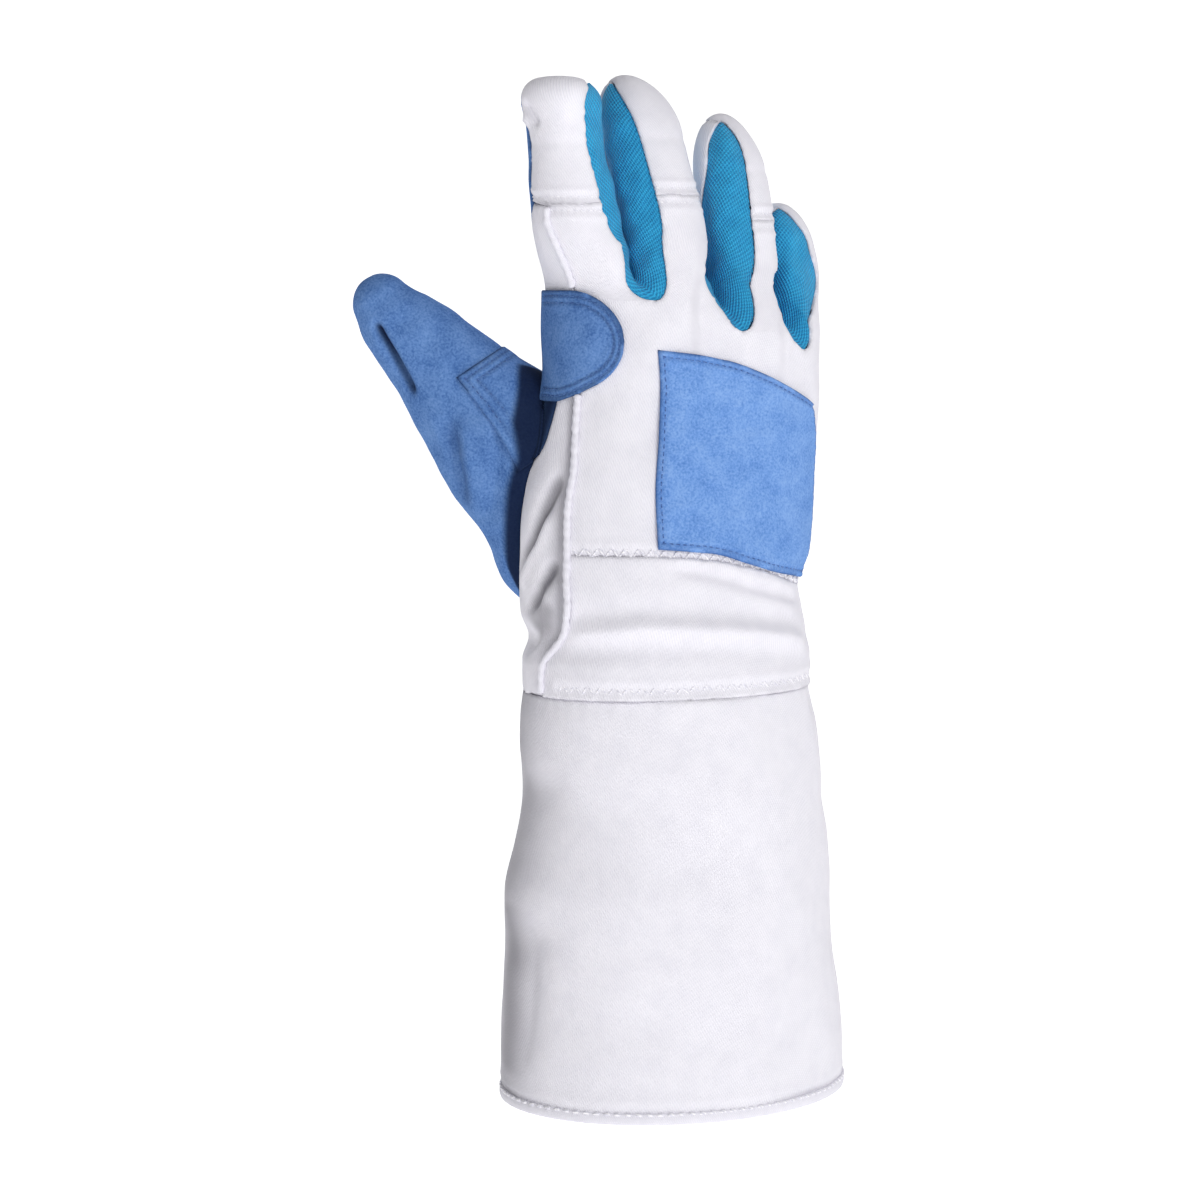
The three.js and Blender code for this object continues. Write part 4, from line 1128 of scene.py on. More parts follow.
@dataclass(frozen=True)
class MeshKnit:
    """Stretch knit of turquoise yarn: small diamonds between crossing rows of loops.

    Real loops are about 0.7 mm apart. They are drawn twice as coarse so that they show.
    """

    name: str = "turquoise_knit"
    slot: str = "turquoise_knit"
    colour: str = "#36b2e4"
    shade: str = "#1670ae"
    loop: float = 1.45
    slant: float = 0.75
    roughness: float = 0.75

    def build(self) -> bpy.types.Material:
        """Rows of loops that cross at a slant, darker between them, with raised yarn."""
        r = Recipe(self.name)
        cloth = r.add("UVMap", uv_map="cloth")
        place = r.add("TexCoord", output=3)
        u = r.add("SeparateXYZ", cloth)
        v = r.add("SeparateXYZ", cloth, output=1)
        rate = 2 * np.pi * per_metre(self.loop)
        waves = []
        for slant in (self.slant, -self.slant):
            way = r.add("Math", v, slant, u, operation="MULTIPLY_ADD")
            turn = r.add("Math", way, rate, operation="MULTIPLY")
            waves.append(r.add("Math", turn, operation="SINE"))
        loops = r.add("Math", waves[1], 0.65, waves[0], operation="MULTIPLY_ADD")
        cloud = r.add("TexNoise", place, named={"Scale": per_metre(5.0), "Detail": 3.0})
        gaps = r.add("MapRange", loops, -1.5, 0.9, 0.7, 0.0)
        lit = r.add("Math", gaps, r.add("MapRange", cloud, 0.35, 0.7, 0.0, 0.22))
        share = r.add("Clamp", lit)
        tones = {6: linear(self.colour), 7: linear(self.shade)}
        relief = {"Strength": 0.6, "Distance": 0.0004, "Height": loops}
        return r.surface(
            Base_Color=r.add("Mix", share, output=2, named=tones, data_type="RGBA"),
            Roughness=self.roughness,
            Specular_IOR_Level=0.2,
            Sheen_Weight=0.1,
            Normal=r.add("Bump", named=relief),
        )


@dataclass(frozen=True)
class SewingThread:
    """Twisted polyester thread: faintly glossy, with its twist as slanting lines."""

    name: str
    slot: str
    colour: str
    shade: str
    twist: float = 0.45

    def build(self) -> bpy.types.Material:
        """Two tones in slanting bands along Object coordinates, bumped by the same bands."""
        r = Recipe(self.name)
        place = r.add("TexCoord", output=3)
        scale = {"Scale": per_metre(self.twist) / 6.0, "Distortion": 1.0}
        bands = r.add("TexWave", place, output=1, named=scale, bands_direction="DIAGONAL")
        tones = {6: linear(self.shade), 7: linear(self.colour)}
        relief = {"Strength": 0.3, "Distance": 0.0001, "Height": bands}
        return r.surface(
            Base_Color=r.add("Mix", bands, output=2, named=tones, data_type="RGBA"),
            Roughness=0.5,
            Normal=r.add("Bump", named=relief),
        )


@dataclass(frozen=True)
class StudioCard:
    """Matt white card for the floor and sweep, lit from behind so that it reads as white."""

    name: str = "studio_card"
    colour: str = "#f7f7f7"
    glow: float = 0.68

    def build(self) -> bpy.types.Material:
        """One pale matt tone with a very faint mottle, so that it stays plain."""
        r = Recipe(self.name)
        place = r.add("TexCoord", output=3)
        noise = r.add("TexNoise", place, named={"Scale": per_metre(400.0)})
        tones = {6: linear(self.colour), 7: linear("#f3f3f4")}
        return r.surface(
            Base_Color=r.add("Mix", noise, output=2, named=tones, data_type="RGBA"),
            Roughness=0.9,
            Emission_Color=linear("#ffffff"),
            Emission_Strength=self.glow,
        )


class Look(Enum):
    """The finishes that pieces are made in."""

    CLOTH = PaddedCloth()
    BINDING = PaddedCloth(
        "white_binding_cloth", "white_binding", "#eae8f0", "#bfbecd", 0.8, 5.0, 0.8, 0.35
    )
    # The last colour of each suede is its painted shade: deep navy for the hand's shadow on the thumb,
    # for creases and for seams.
    BLUE = Suede("blue_suede", "blue_suede", "#5a7fb8", "#4065a0", "#6f93c8", "#0c1633")
    PALE = Suede("pale_blue_suede", "pale_blue_suede", "#6f98d6", "#5681c4", "#88abe0", "#2c4a86")
    KNIT = MeshKnit()
    WHITE_THREAD = SewingThread("white_thread", "white_padded_fabric", "#f6f4f8", "#d6d5e0")
    BLUE_THREAD = SewingThread("blue_thread", "blue_suede", "#4f76b3", "#33558f")


# Pieces
@dataclass
class Workshop:
    """Turns surfaces into finished pieces that ride on the frame.

    Borders of pieces are a little darker, as worn seams are, with painted shade where their edges turn
    in: the dark sizes say how much, and a piece with more border than the longest has small parts and
    gets none.
    """

    made: dict[Look, bpy.types.Material] = field(default_factory=dict)
    cloth_dark: float = 0.16
    leather_dark: float = 0.6
    dark_width: float = 1.3
    longest_border: int = 4000

    def material(self, look: Look) -> bpy.types.Material:
        """The material of a finish, made the first time it is asked for."""
        return self.made.setdefault(look, self.made.get(look) or look.value.build())

    def mesh(self, name: str, surface: Surface) -> bpy.types.Mesh:
        """A mesh in metres from a surface in millimetres.

        Args:
            name: the mesh's name.
            surface: its points and quads. A quad with a doubled corner becomes a triangle.

        Returns:
            The smooth mesh, with lengths along the surface as its UV map.
        """
        quads = surface.quads
        keep = quads != np.roll(quads, -1, axis=1)
        whole = keep.sum(1) >= 3
        quads, keep, cloth = quads[whole], keep[whole], surface.cloth[whole]
        corners = quads[keep]
        sizes = keep.sum(1)
        mesh = bpy.data.meshes.new(name)
        mesh.vertices.add(len(surface.points))
        mesh.vertices.foreach_set("co", (surface.points / 1000).astype(np.float32).ravel())
        mesh.loops.add(len(corners))
        mesh.loops.foreach_set("vertex_index", corners.astype(np.int32))
        mesh.polygons.add(len(sizes))
        starts = np.concatenate([[0], np.cumsum(sizes)[:-1]])
        mesh.polygons.foreach_set("loop_start", starts.astype(np.int32))
        mesh.polygons.foreach_set("use_smooth", np.ones(len(sizes), bool))
        mesh.update(calc_edges=True)
        layer = mesh.uv_layers.new(name="cloth")
        layer.data.foreach_set("uv", (cloth[keep] / 1000).astype(np.float32).ravel())
        mesh.validate()
        return mesh

    def piece(
        self,
        name: str,
        surface: Surface,
        look: Look,
        wall: float = 0.0,
        marks: tuple[Relief, ...] = (),
        nodes: tuple[str, ...] | None = None,
        slot: str = "",
    ) -> bpy.types.Object:
        """Adds one finished piece.

        Args:
            name: plain name of the piece, or of the CAD node that it stands for.
            surface: its outer surface, or its whole closed surface.
            look: its finish.
            wall: thickness given inwards, or 0 for a closed surface.
            marks: reliefs of 0 to 1 that say where painted shade darkens the piece.
            nodes: the CAD nodes that it stands for, where that isn't the one it is named for.
            slot: the record's material slot, where it isn't the finish's own; not used.

        Returns:
            The piece.
        """
        if nodes is None:
            name, nodes = name + "_dressed", (name,)
        mesh = self.mesh(name, surface)
        mesh.materials.append(self.material(look))
        # The seam attribute holds painted shade: darker borders, as worn seams with shade where they
        # turn in, and the shade of the marks.
        seam = mesh.attributes.new("seam", "FLOAT", "POINT")
        edges = border_segments(surface)
        dark = np.zeros(len(surface.points))
        if 0 < len(edges) < self.longest_border:
            far, _ = reach(surface.points, edges[::2])
            most = self.cloth_dark if look is Look.CLOTH else self.leather_dark
            dark = np.exp(-((far / self.dark_width) ** 2)) * most
        # The marks paint shade in folds, creases, stitch holes and the hand's shadow on the thumb.
        for mark in marks:
            dark = np.maximum(dark, mark.height(surface.points))
        seam.data.foreach_set("value", dark.astype(np.float32))
        obj = bpy.data.objects.new(name, mesh)
        bpy.context.scene.collection.objects.link(obj)
        if wall > 0:
            solid = obj.modifiers.new("wall", "SOLIDIFY")
            solid.thickness = wall / 1000
            solid.offset = -1.0
        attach(obj, "root")
        if nodes:
            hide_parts(*nodes)
        LOG.info("%s: %d faces", name, len(mesh.polygons))
        return obj

    def padded(
        self, node: str, surface: Surface, wall: float, fill: float, marks: tuple[Relief, ...] = ()
    ) -> None:
        """Adds a piece of padded white cloth.

        Args:
            node: the CAD node that it stands for.
            surface: its outer surface.
            wall: its thickness.
            fill: how full its padding is; not used.
            marks: where painted shade darkens its cloth.
        """
        piece = self.piece(node, surface, Look.CLOTH, wall, marks)

    def sheet(
        self,
        node: str,
        surface: Surface,
        look: Look,
        wall: float,
        flat: tuple[float, float],
        marks: tuple[Relief, ...] = (),
    ) -> None:
        """Adds a leather or knit piece that lies stretched over the hand.

        Args:
            node: the CAD node that it stands for.
            surface: its outer surface.
            look: its finish.
            wall: its thickness.
            flat: width and length in metres of the rectangle it is cut from; not used.
            marks: where painted shade darkens it.
        """
        piece = self.piece(node, surface, look, wall, marks)


def tube(path: Array, radius: Array, sides: int = 12) -> Surface:
    """Round tube along a path, closed at both ends by a point.

    Each ring stands square to the path, on a side that turns as little as it can: the
    part of a fixed direction that is square to the path.

    Args:
        path: the middle line.
        radius: the tube's radius at each point of the path.
        sides: how many points a ring has.

    Returns:
        The closed surface.
    """
    step = np.gradient(path, axis=0)
    step /= np.linalg.norm(step, axis=1, keepdims=True)
    out = np.array([-0.7, -0.7, 0.1])
    side = out - (step @ out)[:, None] * step
    side /= np.linalg.norm(side, axis=1, keepdims=True)
    other = np.cross(step, side)
    angle = np.linspace(0, 2 * np.pi, sides, endpoint=False)[None, :, None]
    size = np.broadcast_to(radius, (len(path),)).copy()
    size[[0, -1]] = 0.0
    ring = np.cos(angle) * side[:, None] + np.sin(angle) * other[:, None]
    points = path[:, None] + ring * size[:, None, None]
    return weld(grid_surface(points, around=True))


def resample(path: Array, pitch: float) -> tuple[Array, Array]:
    """Points at even lengths along a path, about one pitch apart.

    Args:
        path: the path.
        pitch: the length wanted between two points.

    Returns:
        The points, and their lengths along the path.
    """
    length = np.concatenate([[0.0], np.cumsum(np.linalg.norm(np.diff(path, axis=0), axis=1))])
    count = max(2, int(round(length[-1] / pitch)) + 1)
    want = np.linspace(0, length[-1], count)
    even = np.stack([np.interp(want, length, path[:, axis]) for axis in range(3)], -1)
    return even, want


@dataclass(frozen=True)
class Stitches:
    """Shape of the stitches of a row, in millimetres."""

    pitch: float = 2.6
    length: float = 1.9
    radius: float = 0.24
    arch: float = 0.2
    zigzag: float = 0.0

    def build(self, path: Array, out: Array) -> Surface:
        """Stitches along a path: short arched rods whose ends dip into the cloth.

        A rod's middle line is its middle plus its direction times a share of its length,
        raised by an arch of the share; its section is a small hexagon that closes at both
        ends. In a zigzag every other rod leans the other way.

        Args:
            path: where the row lies.
            out: outward direction at each point of the path.

        Returns:
            The rods, none of them joined.
        """
        even, want = resample(path, self.pitch)
        length = np.linspace(0, want[-1], len(path))
        normal = np.stack([np.interp(want, length, out[:, axis]) for axis in range(3)], -1)
        forward = np.gradient(even, axis=0)
        forward /= np.linalg.norm(forward, axis=1, keepdims=True)
        normal -= (normal * forward).sum(1, keepdims=True) * forward
        normal /= np.linalg.norm(normal, axis=1, keepdims=True)
        beside = np.cross(normal, forward)
        lean = np.where(np.arange(len(even)) % 2, -1.0, 1.0)[:, None] * self.zigzag
        way = forward * self.pitch * 0.95 + beside * lean if self.zigzag else forward * self.length
        rings = np.array([-0.5, -0.36, 0.0, 0.36, 0.5])
        sizes = np.array([0.25, 1.0, 1.0, 1.0, 0.25]) * self.radius
        rise = self.arch * (1 - (2 * rings) ** 4) - self.radius * 0.6
        centre = even[:, None] + rings[None, :, None] * way[:, None]
        centre = centre + rise[None, :, None] * normal[:, None]
        heading = way / np.linalg.norm(way, axis=1, keepdims=True)
        side = np.cross(normal, heading)
        turn = np.linspace(0, 2 * np.pi, 6, endpoint=False)
        ring = (
            np.cos(turn)[None, None, :, None] * side[:, None, None]
            + np.sin(turn)[None, None, :, None] * normal[:, None, None]
        )
        points = centre[:, :, None] + ring * sizes[None, :, None, None]
        stitches, rows, sides = points.shape[:3]
        number = np.arange(stitches * rows * sides).reshape(stitches, rows, sides)
        turned = np.roll(number, -1, axis=2)
        quads = np.stack(
            [number[:, :-1], turned[:, :-1], turned[:, 1:], number[:, 1:]], -1
        ).reshape(-1, 4)
        ends = [
            np.stack([end[:, a], end[:, b], end[:, c], end[:, d]], -1)
            for end in (number[:, 0, ::-1], number[:, -1])
            for a, b, c, d in ((0, 1, 2, 3), (0, 3, 4, 5))
        ]
        quads = np.concatenate([quads, *ends])
        return Surface(points.reshape(-1, 3), quads, np.zeros((len(quads), 4, 2)))


# Paths on the forms
def between(marks: tuple[tuple[float, float], ...], count: int) -> Array:
    """Pairs of values evened out along marks, in straight lines from mark to mark.

    Args:
        marks: pairs, such as angle and height.
        count: how many pairs are wanted.

    Returns:
        The first values and the second values.
    """
    data = np.array(marks, float)
    at = np.linspace(0, len(data) - 1, count)
    return np.stack([np.interp(at, np.arange(len(data)), column) for column in data.T])


def on_hand(*marks: tuple[float, float], lift: float = 0.0, count: int = 40) -> Array:
    """Path on the hand through marks of angle and height."""
    return hand_point(*between(marks, count), -lift)


def on_cuff(*marks: tuple[float, float], count: int = 40) -> Array:
    """Path on the cuff through marks of angle and height."""
    return cuff_point(*between(marks, count))


def on_thumb(*marks: tuple[float, float], lift: float = 0.0) -> Array:
    """Path on the thumb through marks of angle and share of its length."""
    return THUMB.point(*between(marks, 40), -lift)


@dataclass
class Sewing:
    """Rows of stitches laid on surfaces already in relief."""

    shop: Workshop
    rows: dict[str, list[Surface]] = field(default_factory=dict)

    def row(self, piece: str, surface: Surface, path: Array, shape: Stitches) -> None:
        """Lays one row: each point of the path goes to the nearest point of the surface.

        Args:
            piece: name of the thread piece that the row goes into.
            surface: the relieved surface that the row lies on.
            path: where the row runs, near the surface.
            shape: shape of its stitches.
        """
        fine, _ = resample(path, 0.6)
        normals = normals_of(surface)
        nearest = np.empty(len(fine), int)
        for low in range(0, len(fine), 64):
            gap = ((fine[low : low + 64, None] - surface.points[None]) ** 2).sum(-1)
            nearest[low : low + 64] = gap.argmin(1)
        out = normals[nearest]
        lift = ((surface.points[nearest] - fine) * out).sum(1, keepdims=True)
        smooth = np.convolve(np.pad(lift[:, 0], 2, mode="edge"), np.ones(5) / 5, "valid")[:, None]
        self.rows.setdefault(piece, []).append(shape.build(fine + smooth * out, out))

    def finish(self, piece: str, look: Look = Look.WHITE_THREAD, slot: str = "") -> None:
        """Makes one piece of all the rows kept under a name."""
        self.shop.piece(piece, gather(self.rows.pop(piece)), look, nodes=(), slot=slot)


@dataclass
class Cuff:
    """Long padded cuff with a bound lower edge, and the band between it and the hand."""

    shop: Workshop
    sewing: Sewing
    band_stitch_height: float = 151.6

    def body(self) -> None:
        """The cuff: the CAD's ellipses, dented and swollen as it hangs, with rolled edges."""
        angle = np.linspace(180, 540, 300, endpoint=False)[None]
        z = np.linspace(SIZES.hem_height - 1.3, SIZES.cuff_length, 118)[:, None]
        base = weld(grid_surface(cuff_point(angle, z), around=True))
        top = on_cuff((-180, 147.9), (180, 147.9), count=120)
        crease = on_cuff((-82, 74), (-77, 62), (-75, 48), (-77, 30), (-81, 10))
        side = on_cuff((-104, 144), (-100, 110), (-96, 70), (-96, 40), (-98, 6))
        below = on_cuff((-95, 82), (-93, 50), (-94, 3))
        # Painted shade: the marks darken the cuff's thumb side, where the light falls off, and its
        # crease.
        marks = Groove(side, 0.5, 15.0), Groove(below, 0.7, 12.0, 12), Groove(crease, 0.3, 3.5, 10)
        reliefs = [
            Softness(0.55, 46, 3),
            Softness(0.22, 17, 5),
            EdgeRoll(border_segments(base)[::2], 0.18, 1.6),
            Puckers(top, 5.2, 0.2, 5.0),
            Stitching(on_cuff((-180, 4.6), (180, 4.6), count=400), 3.8, 0.4, 1.5, 0.25, 3.2),
            Groove(crease, -1.3, 5.5, 16),
            Groove(on_cuff((-118, 117), (-84, 114), (-58, 119)), -2.0, 7.0, 16),
            Groove(on_cuff((-116, 78), (-86, 76), (-52, 84)), 1.5, 11.0, 22),
            Groove(on_cuff((-112, 57), (-84, 59), (-55, 66)), -1.5, 8.0, 18),
            Groove(on_cuff((-40, 128), (0, 112), (30, 104)), 0.5, 9.0, 25),
            Groove(on_cuff((-60, 98), (-20, 88), (18, 92)), -0.45, 9.0, 25),
            Groove(on_cuff((-30, 48), (12, 62), (48, 84)), 0.45, 11.0, 25),
            Groove(on_cuff((-70, 28), (-30, 34), (20, 26)), -0.4, 9.0, 25),
            Groove(on_cuff((52, 140), (66, 143), (80, 141)), -1.4, 4.0, 8),
        ]
        self.shop.padded("cuff", relieved(base, *reliefs), SIZES.cuff_wall, 0.8, marks)

    def hem(self) -> None:
        """The binding: a rounded oblong section carried round the cuff's lower edge."""
        turns = np.linspace(0, 2 * np.pi, 40, endpoint=False)[:, None]
        angle = np.linspace(180, 540, 300, endpoint=False)[None]
        half, middle = SIZES.hem_height / 2, (SIZES.cuff_wall - SIZES.hem_proud) / 2
        along, inward = (signed_power(way(turns), 0.62) for way in (np.sin, np.cos))
        wave = 0.18 * np.sin(angle * RADIAN * 46) + 0.12 * np.sin(angle * RADIAN * 71 + 1)
        z = half + half * along + 0 * angle
        depth = middle - (middle + SIZES.hem_proud + 0.12 * wave) * inward
        ridge = 0.22 * np.exp(-(((z - 3.3) / 0.5) ** 2)) * (inward > 0)
        points = cuff_point(angle, z, depth + ridge * (0.7 + 0.3 * np.sin(angle * RADIAN * 150)))
        surface = weld(grid_surface(np.concatenate([points, points[:1]], 0), around=True))
        self.shop.piece("cuff_hem", surface, Look.BINDING)
        around = np.linspace(-180, 180, 400)
        path = cuff_point(around, SIZES.hem_height - 0.1, -SIZES.hem_proud * 0.8)
        self.sewing.row("hem_stitches", surface, path, Stitches(3.8, 2.5, 0.6, 0.3))
        self.sewing.finish("hem_stitches", slot=Look.BINDING.value.slot)

    def band(self) -> None:
        """The wrist band: the hand's ovals from the cuff to the wrist seam, with a soft ridge."""
        share, v = grid(250, 46)
        top = np.asarray(SIZES.hand_z(WRIST_TOP))
        angle_top = mix(piping_angle(top), strip_palm_angle(top), share)
        z = mix(SIZES.cuff_length, wrist_z(angle_top), v)
        angle = mix(piping_angle(z) + 0.4, strip_palm_angle(z) - 0.4, share)
        base = weld(grid_surface(hand_point(angle, z)))
        ridge = on_hand((-70, 168), (-56, 171), (-26, 173), (-3, 172), (21, 169.5), (62, 164))
        upper = on_hand((-14, 193.5), (-2, 192), (10, 189), (22, 185.5), (60, 178.5))
        seam = on_hand((-70, 148.5), (180, 148.5), count=120)
        stitched = hand_point(np.linspace(-66, 220, 160), self.band_stitch_height)
        reliefs = [
            Softness(0.4, 30, 11),
            EdgeRoll(border_segments(base)[::2], 0.18, 1.6),
            Groove(ridge, 2.2, 3.4, 12),
            Groove(ridge + np.array([0, 0, 6.5]), -1.1, 3.8, 14),
            Groove(ridge - np.array([0, 0, 7.0]), -0.9, 4.2, 14),
            Groove(upper, -1.3, 1.8, 10),
            Groove(upper + np.array([0, 0, 3.4]), 0.7, 2.0, 10),
            Groove(upper - np.array([0, 0, 5.0]), 0.7, 3.4, 10),
            Stitching(stitched, 2.4, 0.6, 1.5, 0.3, 3.0),
            Puckers(seam, 4.6, 0.22, 4.0),
        ]
        surface = relieved(base, *reliefs)
        self.shop.padded("wrist_band", surface, SIZES.padded_wall, 0.8)
        zigzag = Stitches(2.4, 2.2, 0.34, 0.2, zigzag=3.2)
        self.sewing.row("band_stitches", surface, stitched, zigzag)
        self.sewing.finish("band_stitches")

    def build(self) -> None:
        """Makes the cuff, its hem and the band."""
        self.body()
        self.hem()
        self.band()


@dataclass
class Panels:
    """The sewn panels of the hand and fingers."""

    shop: Workshop
    sewing: Sewing
    columns: int = 44
    hand_rows: int = 76
    finger_rows: int = 44
    wall: float = SIZES.padded_wall * 0.85
    cross_offset: float = 2.4
    cross_stitches: Stitches = Stitches(2.4, 1.8, 0.25, 0.12)

    def on_hand(self, strip: Strip) -> Surface:
        """The strip's stretch on the hand: rows from the wrist seam to the fork.

        Args:
            strip: the strip.

        Returns:
            The surface.
        """
        share, v = grid(self.columns, self.hand_rows)
        return grid_surface(strip.point(share, mix(strip.low_z(share), strip.split_z(share), v)))

    def on_finger(self, strip: Strip, top: float, low: float | None = None) -> Surface:
        """The strip's stretch on the finger, narrowed on the back by the knit's pockets.

        Args:
            strip: the strip.
            top: height of its upper end.
            low: height of its lower end, or None for the fork, with rows closer there.

        Returns:
            The surface.
        """
        share, rows = grid(self.columns, self.finger_rows)
        v = mix(rows, rows**1.7, 0.8) if low is None else rows
        ends = strip.split_z(np.array([[0.0, 1.0]])) if low is None else low
        border = mix(ends, top, v) + np.zeros((1, 2))
        first = strip.pocket_share(border[:, 0], False)[:, None]
        last = 1 - strip.pocket_share(border[:, 1], True)[:, None]
        share = mix(first, last, share)
        start = strip.split_z(share) if low is None else low
        return grid_surface(strip.point(share, mix(start, top, v)))

    def cap(self, finger: Finger) -> Surface:
        """The closed fingertip: rings round the whole finger from the cap's seam to its point.

        Args:
            finger: the finger.

        Returns:
            The surface, its first ring's columns matching the back's.
        """
        seams = finger.seam_angles(np.asarray(finger.cap_seam_z))
        back = np.linspace(seams["back_left"], seams["back_right"], self.columns)
        front = np.linspace(seams["back_right"], seams["back_left"] + 360, self.columns)[1:-1]
        angle = np.concatenate([back, front])[None]
        turn = np.linspace(0, np.pi / 2, 22)[:, None]
        start = finger.cap_seam
        cap = start + (1 - start) * np.sin(turn)
        z = finger.tip_z - finger.cap + finger.cap * cap
        return grid_surface(finger.point(angle, z), around=True)

    def padded(
        self,
        node: str,
        base: Surface,
        extra: list[Relief],
        drop: float = 0.5,
        width: float = 2.0,
        marks: tuple[Relief, ...] = (),
    ) -> Surface:
        """A padded panel: soft, with turned-in edges and the given reliefs.

        Args:
            node: the CAD node that it stands for.
            base: its outer surface before relief.
            extra: reliefs of its own.
            drop: how far its edges turn in.
            width: how broad the turn is.
            marks: where painted shade darkens its cloth.

        Returns:
            The panel's outer surface.
        """
        segments = border_segments(base)[::2]
        soft = Inset(segments, Softness(0.45, 20, 21), 6.0)
        surface = relieved(base, soft, EdgeRoll(segments, drop, width), *extra)
        self.shop.padded(node, surface, self.wall, 0.7, marks)
        return surface

    def cross(self, strip: Strip, side: float, margin: float = 0.0) -> Array:
        """Path across a strip beside its finger's cross seam: above it for 1, below for -1."""
        share = np.linspace(margin, 1 - margin, 60)
        return strip.point(share, strip.finger.seam_z + side * self.cross_offset)

    def hand_back(self) -> None:
        """The back of the hand with its four finger strips and the little finger's tip."""
        strips = [Strip(number, Side.BACK) for number in range(len(FINGERS))]
        parts: list[Surface] = []
        for strip in strips:
            whole = strip is strips[-1]
            top = strip.finger.cap_seam_z if whole else strip.finger.seam_z
            parts += [self.on_hand(strip), self.on_finger(strip, top)]
        base = weld(*parts, self.cap(FINGERS[-1]), grain=2e-2)
        wrist = np.linspace(-57, 100, 120)
        zig = hand_point(wrist, wrist_z(wrist) + 1.2)
        reliefs = [
            Puckers(hand_point(wrist, wrist_z(wrist)), 4.4, 0.26, 4.0),
            Stitching(zig, 2.4, 0.5, 1.5, 0.3, 3.0),
            Groove(on_hand((-56, 238), (-44, 232), (-30, 236)), -0.35, 6.0, 10),
            Groove(on_hand((-54, 212), (-40, 206), (-24, 210)), 0.45, 7.0, 10),
            Groove(on_hand((-30, 262), (-24, 272), (-20, 284)), 0.5, 5.0, 8),
            Groove(on_hand((4, 262), (8, 272), (10, 282)), 0.4, 5.0, 8),
            Groove(on_hand((-48, 292), (-30, 290), (-24, 286)), -0.5, 3.2, 6),
        ]
        for strip in strips[:3]:
            reliefs.append(Stitching(self.cross(strip, -1), 2.4, 0.7, 0.9, 0.5, 2.2))
        surface = self.padded("hand_back", base, reliefs)
        zigzag = Stitches(2.4, 2.2, 0.36, 0.35, zigzag=3.4)
        self.sewing.row("hand_stitches", surface, zig, zigzag)
        for strip in strips[:3]:
            path = self.cross(strip, -1, 0.04)
            self.sewing.row("hand_stitches", surface, path, self.cross_stitches)
        self.sewing.finish("hand_stitches")

    def tips(self) -> None:
        """The backs of the three long fingers above their cross seams, closed at the tip."""
        for number, finger in enumerate(FINGERS[:3]):
            strip = Strip(number, Side.BACK)
            body = self.on_finger(strip, finger.cap_seam_z, finger.seam_z)
            base = weld(body, self.cap(finger), grain=2e-2)
            faint = strip.point(np.linspace(0, 1, 60), mix(finger.seam_z, finger.tip_z, 0.46))
            reliefs = [
                Stitching(self.cross(strip, 1), 2.4, 0.7, 0.9, 0.5, 2.2),
                Groove(faint, -0.3, 1.6),
            ]
            if finger.name == "index":
                pinch = finger.point(np.array([-92, -78, -66]), np.array([356, 351, 346]))
                swell = finger.point(np.array([-112, -98, -84]), np.array([347, 349, 351]))
                reliefs += [Groove(pinch, -2.0, 1.7, 3.0), Groove(swell, 1.4, 2.2, 3.0)]
            surface = self.padded(f"{finger.name}_tip_back", base, reliefs)
            path = self.cross(strip, 1, 0.04)
            self.sewing.row("tip_stitches", surface, path, self.cross_stitches)
        self.sewing.finish("tip_stitches")

    def fronts(self) -> None:
        """The white fronts of the middle, ring and little fingers."""
        share, v = grid(self.columns, self.finger_rows)
        for number, finger in enumerate(FINGERS[1:], 1):
            strip = Strip(number, Side.FRONT)
            z = mix(strip.fork_z(share), finger.cap_seam_z - 0.05, v)
            base = weld(grid_surface(strip.point(share, z)), grain=2e-2)
            self.padded(f"{finger.name}_front", base, [], 0.45)

    def side_strip(self) -> None:
        """The strip along the thumb side, from the cuff to the index finger's cross seam."""
        strip = Strip(0, Side.INNER)
        share, v = grid(42, 150)
        z = mix(SIZES.cuff_length, strip.finger.seam_z, v)
        base = weld(grid_surface(strip.point(share, z)), grain=2e-2)
        courses = (
            ((-61, 229), (-70, 218), (-83, 203), (-103, 190)),
            ((-60, 200), (-69, 191), (-79, 183), (-96, 175)),
        )
        reliefs = [
            *(Groove(on_hand(*course), -3.4, 2.9, 10) for course in courses),
            Groove(on_hand((-66, 214), (-78, 202), (-98, 184)), 1.8, 3.2, 6),
            Groove(on_hand((-68, 178), (-82, 170), (-100, 163)), -1.4, 5.0, 8),
            Groove(strip.point(0.93, np.linspace(162, 262, 60)), -1.2, 2.6, 10),
            Groove(strip.point(0.72, np.linspace(160, 192, 40)), 0.9, 2.0, 6),
        ]
        # Painted shade: the marks darken the fold valleys and the groove beside the piping.
        beside = strip.point(0.9, np.linspace(160, 262, 60), 1.0)
        marks = (
            *(Groove(on_hand(*course, lift=-2.4), 0.95, 2.6, 10) for course in courses),
            Groove(on_hand((-67, 184), (-77, 174), (-92, 170), lift=-1.0), 0.7, 5.5, 6),
            Groove(beside, 0.5, 3.4, 12),
        )
        self.padded("side_strip", base, reliefs, 0.9, 2.4, marks)

